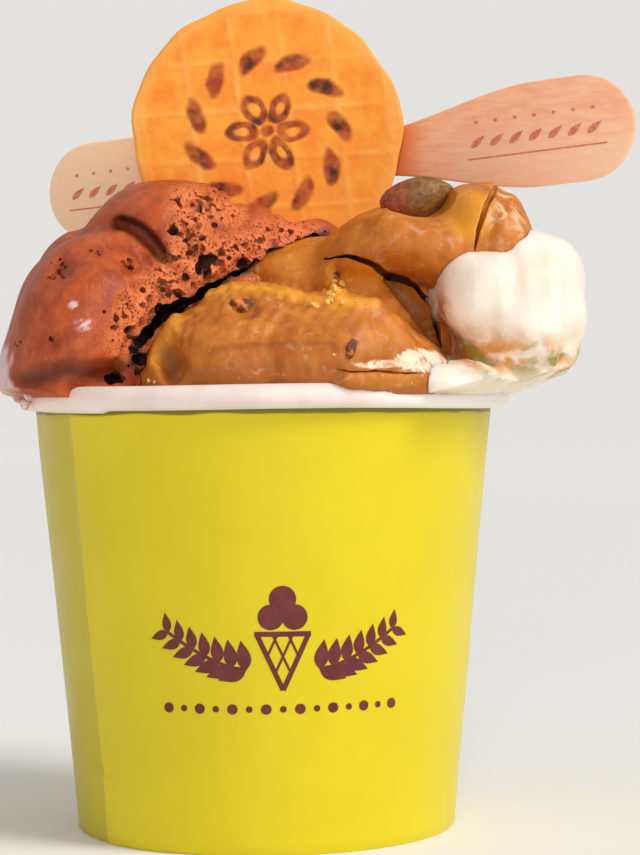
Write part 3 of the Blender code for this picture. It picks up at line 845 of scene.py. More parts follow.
def wafer_body(grow=0.0, front_rings=62, back_rings=50, steps=330):
    """The round biscuit on edge, as a turned outline with rounded rims, a little uneven round its edge."""
    radius = WAFER_RADIUS + grow
    half = WAFER_THICKNESS / 2 + grow
    fillet = WAFER_FILLET
    flat = radius - fillet
    front = [(flat * ring / front_rings, half) for ring in range(front_rings + 1)]
    corner = [
        (flat + fillet * math.sin(angle), half - fillet + fillet * math.cos(angle))
        for angle in (0.4, 0.8, 1.2, 1.57)
    ]
    back = [(flat * ring / back_rings, -half) for ring in range(back_rings, -1, -1)]
    body = turned(front + corner + [(r, -h) for r, h in reversed(corner)] + back, steps)
    for vertex in body.verts:
        angle = math.atan2(vertex.co.y, vertex.co.x)
        wave = 0.25 * math.sin(5 * angle + 0.6) + 0.2 * math.sin(9 * angle)
        wave += 0.12 * math.sin(17 * angle + 1.0)
        vertex.co.xy *= 1.0 + wave / WAFER_RADIUS
    return body


def stand_wafer(body):
    """Turns the flat biscuit to face the front, in its place in the heap."""
    turn_body(body, 90, "X")
    bmesh.ops.translate(body, verts=body.verts, vec=WAFER_CENTRE)


def make_wafer_cutter():
    """The biscuit a little larger, to cut its seat in the gelato."""
    body = wafer_body(0.1, front_rings=2, back_rings=2, steps=90)
    stand_wafer(body)
    return object_from(body, "wafer_cutter")


def cut_to_fit(piece):
    """Cuts a mass clear of the tub and of the wafer, and drops what the cuts leave over."""
    for cutter in (make_tub_cutter(), make_wafer_cutter()):
        combine(piece, cutter, "DIFFERENCE")
    drop_scraps(piece)


def coat(piece, finish):
    """Gives a mass its one material, smooth all over."""
    piece.data.materials.clear()
    piece.data.materials.append(finish.material)
    piece.data.shade_smooth()


def surface_at(piece, x, z, side=FRONT):
    """Where a line from the front or back first meets a mass."""
    hit, place, _, _ = piece.ray_cast(Vector((x * MM, side * 0.1, z * MM)), Vector((0, -side, 0)))
    return place / MM if hit else None


def store(piece, name, values):
    """A mask kept on the mesh's points, for the material to read."""
    attribute = piece.data.attributes.new(name, "FLOAT", "POINT")
    attribute.data.foreach_set("value", np.asarray(values, dtype=np.float32))


def carve(piece, path, width, depth, sink=0.0, voxel=0.3, lift=0.0, ragged=0.3, ends=0.12):
    """Cuts a crisp channel into the front along (x, z) points. It narrows towards its ends."""
    body = bmesh.new()
    points = [Vector(point) for point in path]
    lengths = [(b - a).length for a, b in zip(points, points[1:])]
    total = sum(lengths)
    steps = max(6, int(total / (0.45 * width)))
    for step in range(steps + 1):
        along = total * step / steps
        share = step / steps
        index = 0
        while index < len(lengths) - 1 and along > lengths[index]:
            along -= lengths[index]
            index += 1
        spot = points[index].lerp(points[index + 1], min(1.0, along / lengths[index]))
        place = surface_at(piece, spot.x, spot.y)
        if place is None:
            continue
        size = width * max(ends, math.sin(math.pi * min(0.97, max(0.03, share)))) ** 0.55
        size *= 1.0 + ragged * noise.noise(Vector((spot.x, spot.y, width)) / 1.7)
        stray = ragged * width * noise.noise(Vector((spot.x, spot.y, 7.0)) / 1.1)
        middle = place + Vector((stray, sink, lift + stray))
        add_lobe(body, (*middle, size, depth, size, 0.0, 1.0), detail=3)
    cutter = object_from(body, "channel")
    wrap(cutter, voxel)
    combine(piece, cutter, "DIFFERENCE")


pistachio = soft_mass("pistachio_mass", PISTACHIO_LOBES, PISTACHIO_VOXEL, PISTACHIO_LAPS)
roughen(pistachio, 12.0, 0.9)
roughen(pistachio, 4.5, 0.35)
slab_edge = [
    (-10.5, 100.6), (-6.0, 101.6), (0.0, 101.4), (5.0, 100.0), (10.0, 99.0), (15.0, 98.8), (20.0, 98.2),
]
slab_end = [(20.0, 98.2), (23.5, 95.4), (25.5, 91.5)]
slab_step = [(-10.5, 90.6), (-2.0, 91.4), (6.4, 91.8), (12.0, 91.6)]
left_fold = [(-19.6, 88.2), (-17.8, 92.0), (-15.6, 95.4)]
undercut = [
    (11.4, 107.4), (15.2, 107.6), (19.4, 106.2), (23.2, 104.2), (26.2, 103.5), (28.6, 102.0), (31.4, 98.6),
    (32.0, 95.6), (33.2, 90.8),
]
scoop_hollow = [(23.0, 103.4), (25.4, 101.4), (27.8, 98.8), (30.2, 95.4), (32.2, 91.4)]
knife_cut = [(47.0, 129.0), (43.3, 120.4), (41.0, 116.6), (39.3, 111.8), (38.5, 107.8)]
left_pocket = [(-17.8, 89.8), (-16.6, 89.0), (-15.6, 87.6), (-16.2, 86.0)]
flap_line = [(12.6, 86.5), (15.5, 85.9), (20.0, 86.2), (24.5, 85.7), (28.2, 85.9)]
torn_edge = [(12.2, 105.4), (12.6, 102.6), (13.4, 100.2), (12.8, 98.6)]
press_each(
    pistachio,
    (slab_edge, 1.2, -1.2, FRONT),
    (slab_end, 1.6, -0.7, FRONT),
    ([(x, z + 2.6) for x, z in slab_edge], 1.4, 0.9, FRONT),
    (left_fold, 1.7, -1.5, FRONT),
    ([(-17.0, 91.0), (-15.4, 86.0)], 3.0, 1.2, FRONT),
    (torn_edge, 1.0, -0.8, FRONT),
    (left_pocket, 2.2, 2.0, FRONT),
    ([(x + 1.5, z - 0.3) for x, z in knife_cut[1:]], 2.2, 1.0, FRONT),
    ([(12.5, 86.4), (20.0, 87.0), (28.0, 86.8)], 1.1, 0.9, FRONT),
    ([(6.0, 96.0), (14.0, 104.0), (26.0, 107.0), (38.0, 101.0)], 3.0, 1.6, BACK),
    ([(4.0, 89.0), (16.0, 94.0), (30.0, 95.0), (40.0, 90.0)], 2.6, 1.4, BACK),
    ([(8.0, 99.0), (18.0, 101.5), (30.0, 101.0), (41.0, 96.0)], 1.6, -1.0, BACK),
)
press_pits(pistachio, PISTACHIO_PITS)
wrap(pistachio, PISTACHIO_VOXEL)
press_each(
    pistachio,
    (slab_step, 0.8, -0.4, FRONT),
    ([(x, z - 1.4) for x, z in slab_step], 1.6, 0.45, FRONT),
)
stroke_starts = [-7.0 + 2.7 * stroke for stroke in range(9)]
press_paths(pistachio, [[(x, 92.2), (x + 1.3, 95.0), (x + 3.2, 97.2)] for x in stroke_starts], 0.7, 0.28)
press_paths(pistachio, [[(x, 90.6), (x + 0.8, 88.4), (x + 1.2, 86.4)] for x in stroke_starts], 0.7, 0.16)
press_each(
    pistachio,
    ([(6.4, 91.8), (7.6, 88.0), (8.6, 85.6)], 0.8, -0.2, FRONT),
    ([(12.6, 90.4), (16.0, 92.5), (19.0, 95.5)], 0.9, -0.2, FRONT),
)
for size, height, region, side in (
    (1.9, 0.5, (0.0, 96.5, 14.0, 4.6), FRONT),
    (1.2, 1.0, (12.8, 101.6, 2.6, 5.4), FRONT),
    (1.4, 0.7, (0.0, 101.0, 15.0, 2.4), FRONT),
    (1.6, 0.6, (-14.5, 93.5, 4.0, 6.0), FRONT),
    (1.5, 0.5, (21.0, 86.0, 9.0, 3.4), FRONT),
    (1.6, 0.9, (22.0, 98.4, 15.0, 3.0), BACK),
):
    roughen(pistachio, size, height, region, side)
uncarved = BVHTree.FromObject(pistachio, bpy.context.evaluated_depsgraph_get())
carve(pistachio, scoop_hollow, 3.0, 3.2, sink=0.6, ragged=0.0)
carve(pistachio, undercut, 0.7, 4.5, sink=1.8, ragged=0.25)
carve(pistachio, knife_cut, 0.6, 2.4, sink=0.4, ragged=0.1)
carve(pistachio, flap_line, 0.26, 1.2, voxel=0.2, ragged=0.5)
kernel_seat = bmesh.new()
add_lobe(kernel_seat, (29.0, -20.0, 119.6, 7.0, 9.0, 5.2, -6.0, 0.9))
combine(pistachio, object_from(kernel_seat, "kernel_seat"), "DIFFERENCE")

pistachio_form = grown_copy(pistachio, 0.0)
combine(pistachio, make_fill(LEFT_PLANE, RIGHT_PLANE), "UNION")
set_aside = grown_copy(pistachio, GAP)
cut_to_fit(pistachio)

places, normals = read_skin(pistachio)
x, y, z = places.T
# Painted highlights: brighter orange along the lit slab edge, the left fold and the torn edge, and on a few
# lit patches.
ridge_highlight = np.zeros(len(places))
for path, reach, weight in ((slab_edge, 1.3, 0.9), (left_fold, 1.6, 0.7), (torn_edge, 1.7, 1.0)):
    ridge_highlight = np.maximum(ridge_highlight, weight * near_path(places, path, 1.2, reach))
for region, weight in (
    ((38.0, 115.0, 5.0, 6.0), 0.8),
    ((18.5, 103.0, 5.0, 4.0), 0.5),
    ((8.0, 106.0, 7.0, 6.0), 0.15),
    ((21.0, 84.6, 8.0, 1.8), 0.3),
):
    ridge_highlight = np.maximum(ridge_highlight, weight * oval_share(places, region))
store(pistachio, "ridge_highlight", ridge_highlight * (normals[:, 1] < 0.2) * (y < 0))
# Painted shade: darker in the carved channels, the kernel's seat and the pocket under the left fold.
darkest_depth = np.where(x > 35.0, 4.0, np.where(x > 22.0, 5.0, 2.2))
depth = depth_below(pistachio, uncarved, (y < FRONT_END) & (z > 86.0))
pocket_shade = near_path(places, left_pocket, 1.0, 2.2) * (y < 0)
store(pistachio, "hollow_shade", np.maximum(np.clip(depth / darkest_depth, 0.0, 1.0), pocket_shade))
melt = np.zeros(len(places))
for region in ((20.6, 87.3, 5.4, 1.0), (28.6, 88.0, 6.4, 2.8), (34.2, 84.8, 5.2, 5.2)):
    melt = np.maximum(melt, oval_share(places, region))
store(pistachio, "cream", melt * (y < 0))
store(pistachio, "crown", oval_share(places, (44.6, 114.0, 4.6, 7.0)) * (x > 41.0))

finish = Finish("pistachio_gelato", 0.4)
base_tone, _ = finish.patches(
    5.0, (184, 100, 26), (212, 128, 38), low=0.3, high=0.7, detail=5.0, twist=0.4
)
_, broad_patches = finish.patches(3.2, low=0.45, high=0.75, detail=4.0, twist=0.6)
down_strokes = finish.stretched((1.0, 0.5, 0.13), (0.0, 8.0, 0.0))
_, fine_strokes = finish.patches(1.1, low=0.3, high=0.7, place=down_strokes)
_, specks = finish.patches(0.8, low=0.70, high=0.76, detail=2.0)
_, dark_specks = finish.patches(1.1, low=0.75, high=0.80, detail=2.0, twist=1.0)
_, cream_patches = finish.patches(2.6, low=0.3, high=0.7, detail=4.0, twist=1.0)
ragged_cream = finish.work("ADD", cream_patches, finish.painted("cream"))
# The layer darker towards the bottom is painted shade low on the slab.
finish.colour(finish.tinted(
    base_tone,
    (broad_patches, 0.45, (224, 148, 52)),
    (fine_strokes, 0.22, (160, 84, 24)),
    (finish.rise(finish.coordinate(2), 95.0, 84.0), 0.6, (164, 90, 28)),
    (specks, 0.5, (238, 178, 80)),
    (dark_specks, 0.5, (110, 54, 18)),
    (finish.painted("ridge_highlight"), 0.75, (244, 166, 44)),
    (finish.work("MULTIPLY", finish.painted("crown"), broad_patches), 1.0, (236, 200, 160)),
    (finish.rise(ragged_cream, 0.8, 1.6), 1.0, (247, 222, 194)),
    (finish.painted("hollow_shade"), 0.5, (88, 50, 24)),
))
finish.gloss(broad_patches, 0.46, 0.6)
finish.relief((fine_strokes, 0.05), (broad_patches, 0.03), (specks, 0.015))
finish.constant(Subsurface_Weight=0.22, Subsurface_Radius=(0.0030, 0.0016, 0.0006), Subsurface_Scale=1.0)
finish.constant(Specular_IOR_Level=0.35)
coat(pistachio, finish)
set_in_frame(pistachio)
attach(pistachio, "root")
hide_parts("gelato_pistachio")


# Chocolate gelato: scooped onto the left, smooth where the spatula ran over it. It is torn open where it was
# pulled from the pan, and its air bubbles show there. A dark gap lies between it and the pistachio.
CHOCOLATE_VOXEL = 0.58
BUBBLE_VOXEL = 0.22
CHOCOLATE_LOBES = {
    "left dome": (-33.2, -10.0, 90.8, 15.6, 25.0, 23.4, 16.0, 1.0),
    "top lobe": (-17.5, 0.0, 104.0, 20.0, 21.0, 20.3, 0.0, 1.0),
    "crest behind the dome": (-30.8, 1.0, 99.0, 15.2, 18.0, 16.8, 0.0, 1.0),
    "right shoulder": (-1.5, 2.0, 102.5, 15.0, 15.0, 15.5, 10.0, 1.0),
    "crest's right end": (10.0, 3.0, 104.2, 9.5, 10.0, 12.2, 0.0, 1.0),
    "torn face": (-16.0, -10.0, 92.0, 14.0, 15.0, 15.0, -20.0, 1.0),
    "back": (-20.0, 22.0, 99.0, 25.0, 20.0, 21.0, 0.0, 1.0),
    "mound behind the wafer": (0.0, 19.0, 107.0, 17.0, 13.0, 18.0, 0.0, 1.0),
    "back fold": (-9.0, 29.0, 92.0, 19.0, 13.0, 15.0, 12.0, 0.9),
    "left back": (-36.0, 10.0, 89.0, 12.5, 20.0, 14.0, 0.0, 1.0),
    "low left": (-22.0, 4.0, 84.0, 24.0, 37.0, 7.0, 0.0, 1.0),
}
CHOCOLATE_PITS = [
    (-36.0, 105.2, 2.6, 0.9), (-30.0, 108.4, 1.2, 0.35), (-24.3, 105.4, 1.6, 0.6), (-37.2, 91.4, 1.3, 0.5),
]
SKIN_HOLES = [
    (-36.9, 106.3, 0.7, 7), (-38.0, 103.8, 0.5, 5), (-36.5, 103.8, 0.5, 4), (-30.1, 108.6, 0.7, 4),
    (-24.8, 105.8, 0.7, 5), (-44.5, 92.0, 0.3, 3), (-37.4, 91.8, 0.4, 3), (-27.0, 85.4, 0.9, 12),
]
GELATO_FOOT = 82.0
CHOCOLATE_LAPS = [(-70.0, 84.4, 2.0), (-64.0, 84.3, 2.1), (-58.0, 84.7, 2.0), (-51.0, 85.4, 1.7)]
dark_gap = [
    (12.2, 113.5), (4.8, 109.8), (-1.7, 106.2), (-6.3, 104.3), (-12.7, 99.7), (-18.3, 96.9), (-22.9, 91.4),
    (-23.8, 87.7),
]
torn_band = [(-13.5, 119.0), (-13.0, 110.0), (-17.0, 103.5), (-22.0, 98.0), (-23.5, 92.0)]
torn_top = [(-12.0, 117.5), (-5.5, 117.0)]
torn_foot = [(-11.0, 106.5), (-3.0, 108.5), (6.0, 112.5)]
torn_back = [(-38.0, 92.0), (-30.0, 97.5), (-21.0, 100.5), (-10.0, 101.0)]
torn_strips = (
    (torn_band, FRONT, 1.6, 3.6, 3.4, 260),
    (torn_top, FRONT, 1.5, 3.0, 2.6, 60),
    (torn_foot, FRONT, 1.6, 4.4, 3.4, 190),
    (torn_back, BACK, 1.4, 2.8, 3.0, 200),
)
big_holes = [
    (-10.6, 107.0, 1.5), (-10.2, 104.6, 1.2), (-9.2, 107.6, 0.9), (-3.2, 107.0, 1.5), (-1.6, 106.2, 1.1),
    (-20.0, 99.6, 1.3), (-15.5, 101.0, 1.0), (-24.0, 94.0, 1.2), (-22.8, 92.2, 1.0), (-5.0, 109.6, 0.9),
    (-3.4, 110.4, 0.7), (-7.6, 109.0, 0.8), (-16.4, 112.6, 1.1), (-16.0, 118.4, 0.9), (-10.2, 117.4, 0.8),
    (-17.2, 107.0, 0.8), (-14.2, 104.0, 0.9), (2.4, 111.4, 0.8), (5.4, 113.4, 0.7), (-12.6, 102.2, 1.0),
    (-27.4, 85.3, 1.5), (-11.8, 105.6, 1.2), (-0.6, 105.6, 1.2),
    (-22.0, 88.8, 1.6), (-18.9, 98.1, 1.2), (-22.6, 86.6, 1.1), (-23.6, 90.8, 1.1),
]
bubble_draw = random.Random(5)

chocolate = soft_mass("chocolate_mass", CHOCOLATE_LOBES, CHOCOLATE_VOXEL, CHOCOLATE_LAPS)
roughen(chocolate, 11.0, 1.1)
roughen(chocolate, 3.2, 2.6, (-5.5, 114.5, 13.0, 11.0))
roughen(chocolate, 3.0, 2.6, (-16.0, 101.0, 10.5, 12.0))
slit = [(-26.8, 114.6), (-25.2, 114.2), (-22.8, 112.8), (-20.4, 110.5), (-18.6, 108.0)]
slit_brow = [(x + 0.5, z + 0.9) for x, z in slit]
foot_gap = [(-43.0, 85.4), (-39.4, 86.0), (-34.9, 86.8), (-29.5, 86.4), (-26.0, 86.8)]
press_each(
    chocolate,
    ([(-35.4, 113.8), (-30.5, 114.6), (-27.0, 114.2)], 1.6, 0.8, FRONT),
    ([(-17.8, 106.8), (-24.0, 104.5), (-26.0, 98.0)], 1.2, 0.4, FRONT),
    (foot_gap, 2.4, 1.5, FRONT),
    ([(-33.5, 83.2), (-29.5, 84.0), (-25.5, 84.6)], 3.0, 2.2, FRONT),
    ([(-44.0, 96.0), (-34.0, 106.0), (-22.0, 110.0), (-12.0, 106.0), (-6.0, 98.0)], 3.0, 1.8, BACK),
    ([(-38.0, 88.0), (-24.0, 93.5), (-8.0, 94.0)], 2.4, 1.6, BACK),
    (torn_back, 2.0, -1.2, BACK),
    ([(-32.0, 104.0), (-20.0, 107.0), (-8.0, 108.0)], 1.4, 0.8, BACK),
    (dark_gap, 2.6, 1.6, FRONT),
)
press_pits(chocolate, CHOCOLATE_PITS)
carve(chocolate, slit, 1.75, 2.8, sink=0.2, ragged=0.0, ends=0.7)
wrap(chocolate, CHOCOLATE_VOXEL, relax_steps=2)


def torn_share(places):
    """How torn the mass is at each point of its skin."""
    share = np.zeros(len(places))
    for path, side, strength, reach, _, _ in torn_strips:
        on_side = places[:, 1] < FRONT_END if side == FRONT else places[:, 1] > 12.0
        share = np.maximum(share, near_path(places, path, strength, reach) * on_side)
    return share * (places[:, 2] > GELATO_FOOT)


places, normals = read_skin(chocolate)
torn = torn_share(places) * (np.abs(normals[:, 1]) > 0.05)
crags = 0.55 * lumps_at(places, 1.5) + 0.35 * lumps_at(places, 0.9)
places += normals * (crags * torn)[:, None]
write_skin(chocolate, places)
smooth_form = BVHTree.FromObject(chocolate, bpy.context.evaluated_depsgraph_get())


def scattered_bubbles():
    """Air bubbles along the torn band: most are small, and they thin out towards its edges."""
    for path, side, _, _, spread, count in torn_strips:
        for _ in range(count):
            stretch = bubble_draw.randrange(len(path) - 1)
            share = bubble_draw.random()
            start, end = path[stretch], path[stretch + 1]
            x = start[0] + (end[0] - start[0]) * share + bubble_draw.gauss(0.0, spread * 0.55)
            z = start[1] + (end[1] - start[1]) * share + bubble_draw.gauss(0.0, spread * 0.55)
            yield x, z, 0.2 + 0.6 * bubble_draw.random() ** 4, side


def skin_holes():
    """The smooth skin's few holes, each a ragged cluster of small ones."""
    for x, z, spread, count in SKIN_HOLES:
        for _ in range(count):
            radius = 0.3 + 0.5 * spread * bubble_draw.random()
            yield x + bubble_draw.gauss(0.0, spread), z + bubble_draw.gauss(0.0, spread), radius, FRONT


bubbles = bmesh.new()
for x, z, radius, side in [*skin_holes(), *((*hole, FRONT) for hole in big_holes), *scattered_bubbles()]:
    place = surface_at(chocolate, x, z, side)
    if place is None:
        continue
    sunk = place - Vector((0.0, side * radius * 0.35, 0.0))
    stretch = 0.8 + 0.5 * bubble_draw.random()
    bubble = bmesh.ops.create_icosphere(bubbles, subdivisions=2, radius=radius)
    for vertex in bubble["verts"]:
        dent = 1.0 + 0.5 * noise.noise(vertex.co * 1.6 + place)
        vertex.co = sunk + Vector((vertex.co.x * stretch, vertex.co.y * 1.5, vertex.co.z / stretch)) * dent
bubble_cutter = object_from(bubbles, "bubbles")
wrap(bubble_cutter, BUBBLE_VOXEL)
combine(chocolate, bubble_cutter, "DIFFERENCE")
carve(chocolate, dark_gap[:4], 1.0, 6.0, sink=1.5, voxel=0.3, lift=0.3, ragged=1.1)
carve(chocolate, dark_gap[3:], 1.15, 6.0, sink=1.5, voxel=0.3, lift=0.3, ragged=1.1)

combine(chocolate, make_fill(-FAR, LEFT_PLANE + 1.0), "UNION")
combine(chocolate, set_aside, "DIFFERENCE")
cut_to_fit(chocolate)

places, _ = read_skin(chocolate)
x, y, z = places.T
in_front = (y < FRONT_END) & (z > GELATO_FOOT)
torn = torn_share(places)
store(chocolate, "torn", torn)
depth = depth_below(chocolate, smooth_form, in_front | (torn > 0.0))
over_rim = (np.hypot(x, y) > 42.0) & (z < 86.0) & (x < -30.0)
# Painted shade: darker in the bubbles and holes, the dark gap, the foot gap, the slit and its upper edge, and
# the pits.
hollow_shade = [
    np.clip(depth / 1.3, 0.0, 1.0) * ~over_rim,
    near_path(places, dark_gap, 1.1, 1.4) * in_front,
    near_path(places, foot_gap, 1.2, 2.4) * 0.7 * in_front,
    near_path(places, slit, 1.3, 1.6, most=0.5) * in_front,
    near_path(places, slit_brow, 1.2, 0.9, most=0.85) * in_front,
]
for pit_x, pit_z, pit_radius, pit_depth in CHOCOLATE_PITS:
    shape = np.clip(1.0 - np.hypot(x - pit_x, z - pit_z) / pit_radius, 0.0, 1.0)
    hollow_shade.append(shape * min(1.0, pit_depth * 0.7) * in_front)
store(chocolate, "hollow_shade", np.maximum.reduce(hollow_shade))
# Pale pink along the far left edge of the front, and two painted glints, painted highlights, on the dome.
pale_edge_and_glints = np.clip((-46.0 - x + (90.0 - z) * 0.12 + 1.6 * lumps_at(places, 2.6)) / 1.4, 0.0, 1.0)
pale_edge_and_glints *= np.clip((97.0 - z + 5.0 * lumps_at(places, 4.0)) / 6.0, 0.0, 1.0)
pale_edge_and_glints *= np.clip((-4.0 - y) / 7.0, 0.0, 1.0)
for glint in ((-33.9, 98.5, 0.9, 0.8), (-32.0, 95.0, 1.7, 1.5)):
    ragged = np.clip(0.5 + 2.5 * lumps_at(places, 0.8), 0.0, 1.0)
    pale_edge_and_glints = np.maximum(pale_edge_and_glints, oval_share(places, glint) * ragged * (y < 0))
store(chocolate, "pale_edge_and_glints", pale_edge_and_glints)

finish = Finish("chocolate_gelato", 0.35)
base_tone, _ = finish.patches(6.0, (160, 65, 27), (194, 86, 37), low=0.3, high=0.7, detail=5.0)
_, soft_patches = finish.patches(2.4, low=0.4, high=0.7, detail=5.0, twist=0.4)
swept = finish.stretched((1.0, 0.4, 0.2), (0.0, -12.0, 0.0))
_, fine_strokes = finish.patches(1.0, low=0.3, high=0.7, place=swept)
_, grain = finish.patches(0.4, low=0.35, high=0.65, detail=4.0)
_, fine_specks = finish.patches(0.7, low=0.62, high=0.74, detail=3.0)
torn_mask = finish.painted("torn")
# Painted shade in the small pores of the torn surface, which the relief also sinks.
cells = finish.add("TexVoronoi", {"feature": "F1"}, {"Vector": finish.place, "Scale": 1.15})
pore_mask = finish.work("MULTIPLY", finish.rise(cells.outputs["Distance"], 0.30, 0.16), torn_mask)
finish.colour(finish.tinted(
    base_tone,
    (soft_patches, 0.5, (214, 105, 51)),
    (fine_strokes, 0.24, (130, 50, 26)),
    (fine_specks, 0.35, (118, 44, 26)),
    (torn_mask, 0.8, finish.mix(grain, (214, 106, 54), (246, 148, 92))),
    (pore_mask, 0.75, (92, 32, 18)),
    (finish.painted("hollow_shade"), 1.0, (54, 25, 15)),
    (finish.painted("pale_edge_and_glints"), 1.0, (228, 196, 192)),
))
dry = finish.work("MULTIPLY_ADD", torn_mask, 0.8, finish.work("MULTIPLY", soft_patches, 0.2))
low_down = finish.rise(finish.coordinate(2), 86.0, 83.8)
finish.gloss(finish.work("MULTIPLY_ADD", low_down, 0.9, dry), 0.38, 0.66)
sunk_pores = finish.work("SUBTRACT", 1.0, pore_mask)
finish.relief((sunk_pores, 0.35), (fine_strokes, 0.03), (soft_patches, 0.07), (grain, 0.04))
finish.constant(Subsurface_Weight=0.12, Subsurface_Radius=(0.0016, 0.0007, 0.0004), Subsurface_Scale=1.0)
finish.constant(Specular_IOR_Level=0.3)
coat(chocolate, finish)
chocolate.data.set_sharp_from_angle(angle=math.radians(60))
set_in_frame(chocolate)
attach(chocolate, "root")
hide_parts("gelato_chocolate")


# Melted gelato that has run to the left end of the rim: a few pale drops clinging under the chocolate.
MELTED_DROPS = [
    (-47.2, -9.0, 88.2, 1.2), (-46.6, -12.5, 85.8, 1.6), (-44.9, -19.0, 84.8, 1.4), (-45.4, -16.0, 82.8, 1.4),
    (-44.0, -19.5, 80.9, 0.9), (-43.0, -21.8, 82.9, 1.1),
]
drop_body = bmesh.new()
for x, y, z, radius in MELTED_DROPS:
    add_lobe(drop_body, (x, y, z, radius, 1.5 * radius, 1.3 * radius, 0.0, 1.0), detail=3)
drop_finish = Finish("melted_gelato", 0.24)
drop_tone, drop_mask = drop_finish.patches(1.2, (196, 138, 126), (240, 214, 208), low=0.3, high=0.6)
drop_finish.colour(drop_tone)
drop_finish.relief((drop_mask, 0.06))
drop_finish.constant(Subsurface_Weight=0.2, Subsurface_Radius=(0.0016, 0.0010, 0.0008))
drops = object_from(drop_body, "melted_drops", drop_finish)
wrap(drops, 0.25, relax_steps=6)
drops.data.shade_smooth()
set_in_frame(drops)
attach(drops, "root")


# Cream gelato: a ball on the right that hangs over the rim and has begun to melt onto it. Upright flutes are
# left by the spatula, and pistachio is smeared into its lower edge.
CREAM_VOXEL = 0.5
CREAM_FLUTES = (40.0, 45.0, 50.0, 55.0)
CREAM_LOBES = {
    "ball": (46.8, -12.0, 98.5, 13.4, 20.0, 14.6, 0.0, 0.9),
    "lower ball": (47.0, -12.0, 91.5, 12.0, 18.0, 9.5, -12.0, 0.9),
    "upper left": (41.2, -16.6, 101.0, 10.2, 16.0, 10.4, 0.0, 0.9),
    "melt on the rim": (36.0, -29.0, 83.6, 11.5, 11.0, 4.2, 4.0, 1.0),
}
cream = soft_mass("cream_mass", CREAM_LOBES, CREAM_VOXEL)
roughen(cream, 8.0, 1.7)
press_each(cream, *(([(x, 108.0), (x + 0.8, 93.0)], 2.2, 0.28, FRONT) for x in CREAM_FLUTES))
roughen(cream, 3.0, 1.6, (48.0, 87.0, 13.0, 5.4))
wrap(cream, CREAM_VOXEL)
roughen(cream, 1.6, 0.6, (48.0, 87.0, 13.0, 4.4))
combine(cream, make_fill(RIGHT_PLANE - 1.0, FAR), "UNION")
combine(cream, grown_copy(pistachio_form, GAP), "DIFFERENCE")
cut_to_fit(cream)
bpy.data.objects.remove(pistachio_form)

places, _ = read_skin(cream)
x, y, z = places.T
smear = np.clip(1.3 - np.abs(z - (90.0 - 0.12 * (x - 36.0))) / 4.2, 0.0, 1.0)
store(cream, "smear", smear * np.clip((x - 33.5) / 3.0, 0.0, 1.0) * (y < 12))
left_edge = [(32.0, 99.0), (34.0, 93.0), (37.0, 88.5)]
store(cream, "edge", near_path(places, left_edge, 1.1, 2.0) * (y < 0))

finish = Finish("cream_gelato", 0.42)
base_tone, _ = finish.patches(10.0, (250, 231, 212), (252, 240, 226), detail=3.0)
_, flutes = finish.patches(2.2, low=0.35, high=0.75, place=finish.stretched((1.0, 0.5, 0.10)))
_, smear_patches = finish.patches(4.6, low=0.36, high=0.60, detail=5.0, twist=0.8)
_, green_patches = finish.patches(6.0, low=0.46, high=0.58, detail=4.0, twist=1.0)
smear_tone = finish.mix(green_patches, (222, 152, 72), (168, 154, 58))
finish.colour(finish.tinted(
    base_tone,
    (flutes, 0.28, (248, 208, 176)),
    (finish.work("MULTIPLY", smear_patches, finish.painted("smear")), 1.0, smear_tone),
    (finish.work("MULTIPLY", finish.painted("edge"), smear_patches), 0.9, (204, 130, 64)),
))
_, cream_grain = finish.patches(0.7, low=0.3, high=0.7, detail=4.0)
finish.relief((flutes, 0.02), (smear_patches, 0.05), (cream_grain, 0.02))
finish.gloss(smear_patches, 0.36, 0.5)
finish.constant(Subsurface_Weight=0.3, Subsurface_Radius=(0.004, 0.003, 0.002), Subsurface_Scale=1.0)
finish.constant(Specular_IOR_Level=0.45)
coat(cream, finish)
set_in_frame(cream)
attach(cream, "root")
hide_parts("gelato_cream")


# Chopped nut pressed into the pistachio: brown chips with their skin on, and pale crumbs along a torn edge.
NUT_CHIPS = [
    (-3.0, 97.7, 2.8, 1.3, 1.5, 12.0),
    (15.4, 90.0, 0.9, 0.8, 1.7, 25.0),
    (13.6, 104.2, 0.7, 0.6, 0.6, 40.0),
]
NUT_CRUMBS = [
    (9.3, 98.0, 0.85), (14.6, 102.6, 0.75), (12.7, 101.0, 0.85), (12.2, 99.4, 0.8), (-20.4, 84.8, 0.4),
    (13.0, 103.0, 0.7), (11.8, 100.2, 0.55), (13.6, 101.8, 0.5), (11.4, 98.4, 0.6), (14.0, 98.4, 0.4),
    (-19.3, 84.6, 0.35), (12.4, 89.0, 0.45), (16.6, 98.6, 0.35), (18.4, 98.2, 0.35),
]


def add_fragment(body, place, half_sizes, turn, seed):
    """One broken bit of nut, set into the surface."""
    stone = bmesh.ops.create_icosphere(body, subdivisions=3, radius=1.0)
    rotation = Euler((0.3 * seed, math.radians(turn), 0.7 * seed)).to_matrix()
    for vertex in stone["verts"]:
        chipped = 1.0 + 0.45 * noise.noise(vertex.co * 1.4 + Vector((seed, 0, 0)))
        boxy = Vector([math.copysign(abs(part) ** 0.75, part) for part in vertex.co]) * chipped
        sized = Vector([part * half for part, half in zip(boxy, half_sizes)])
        vertex.co = rotation @ sized + place


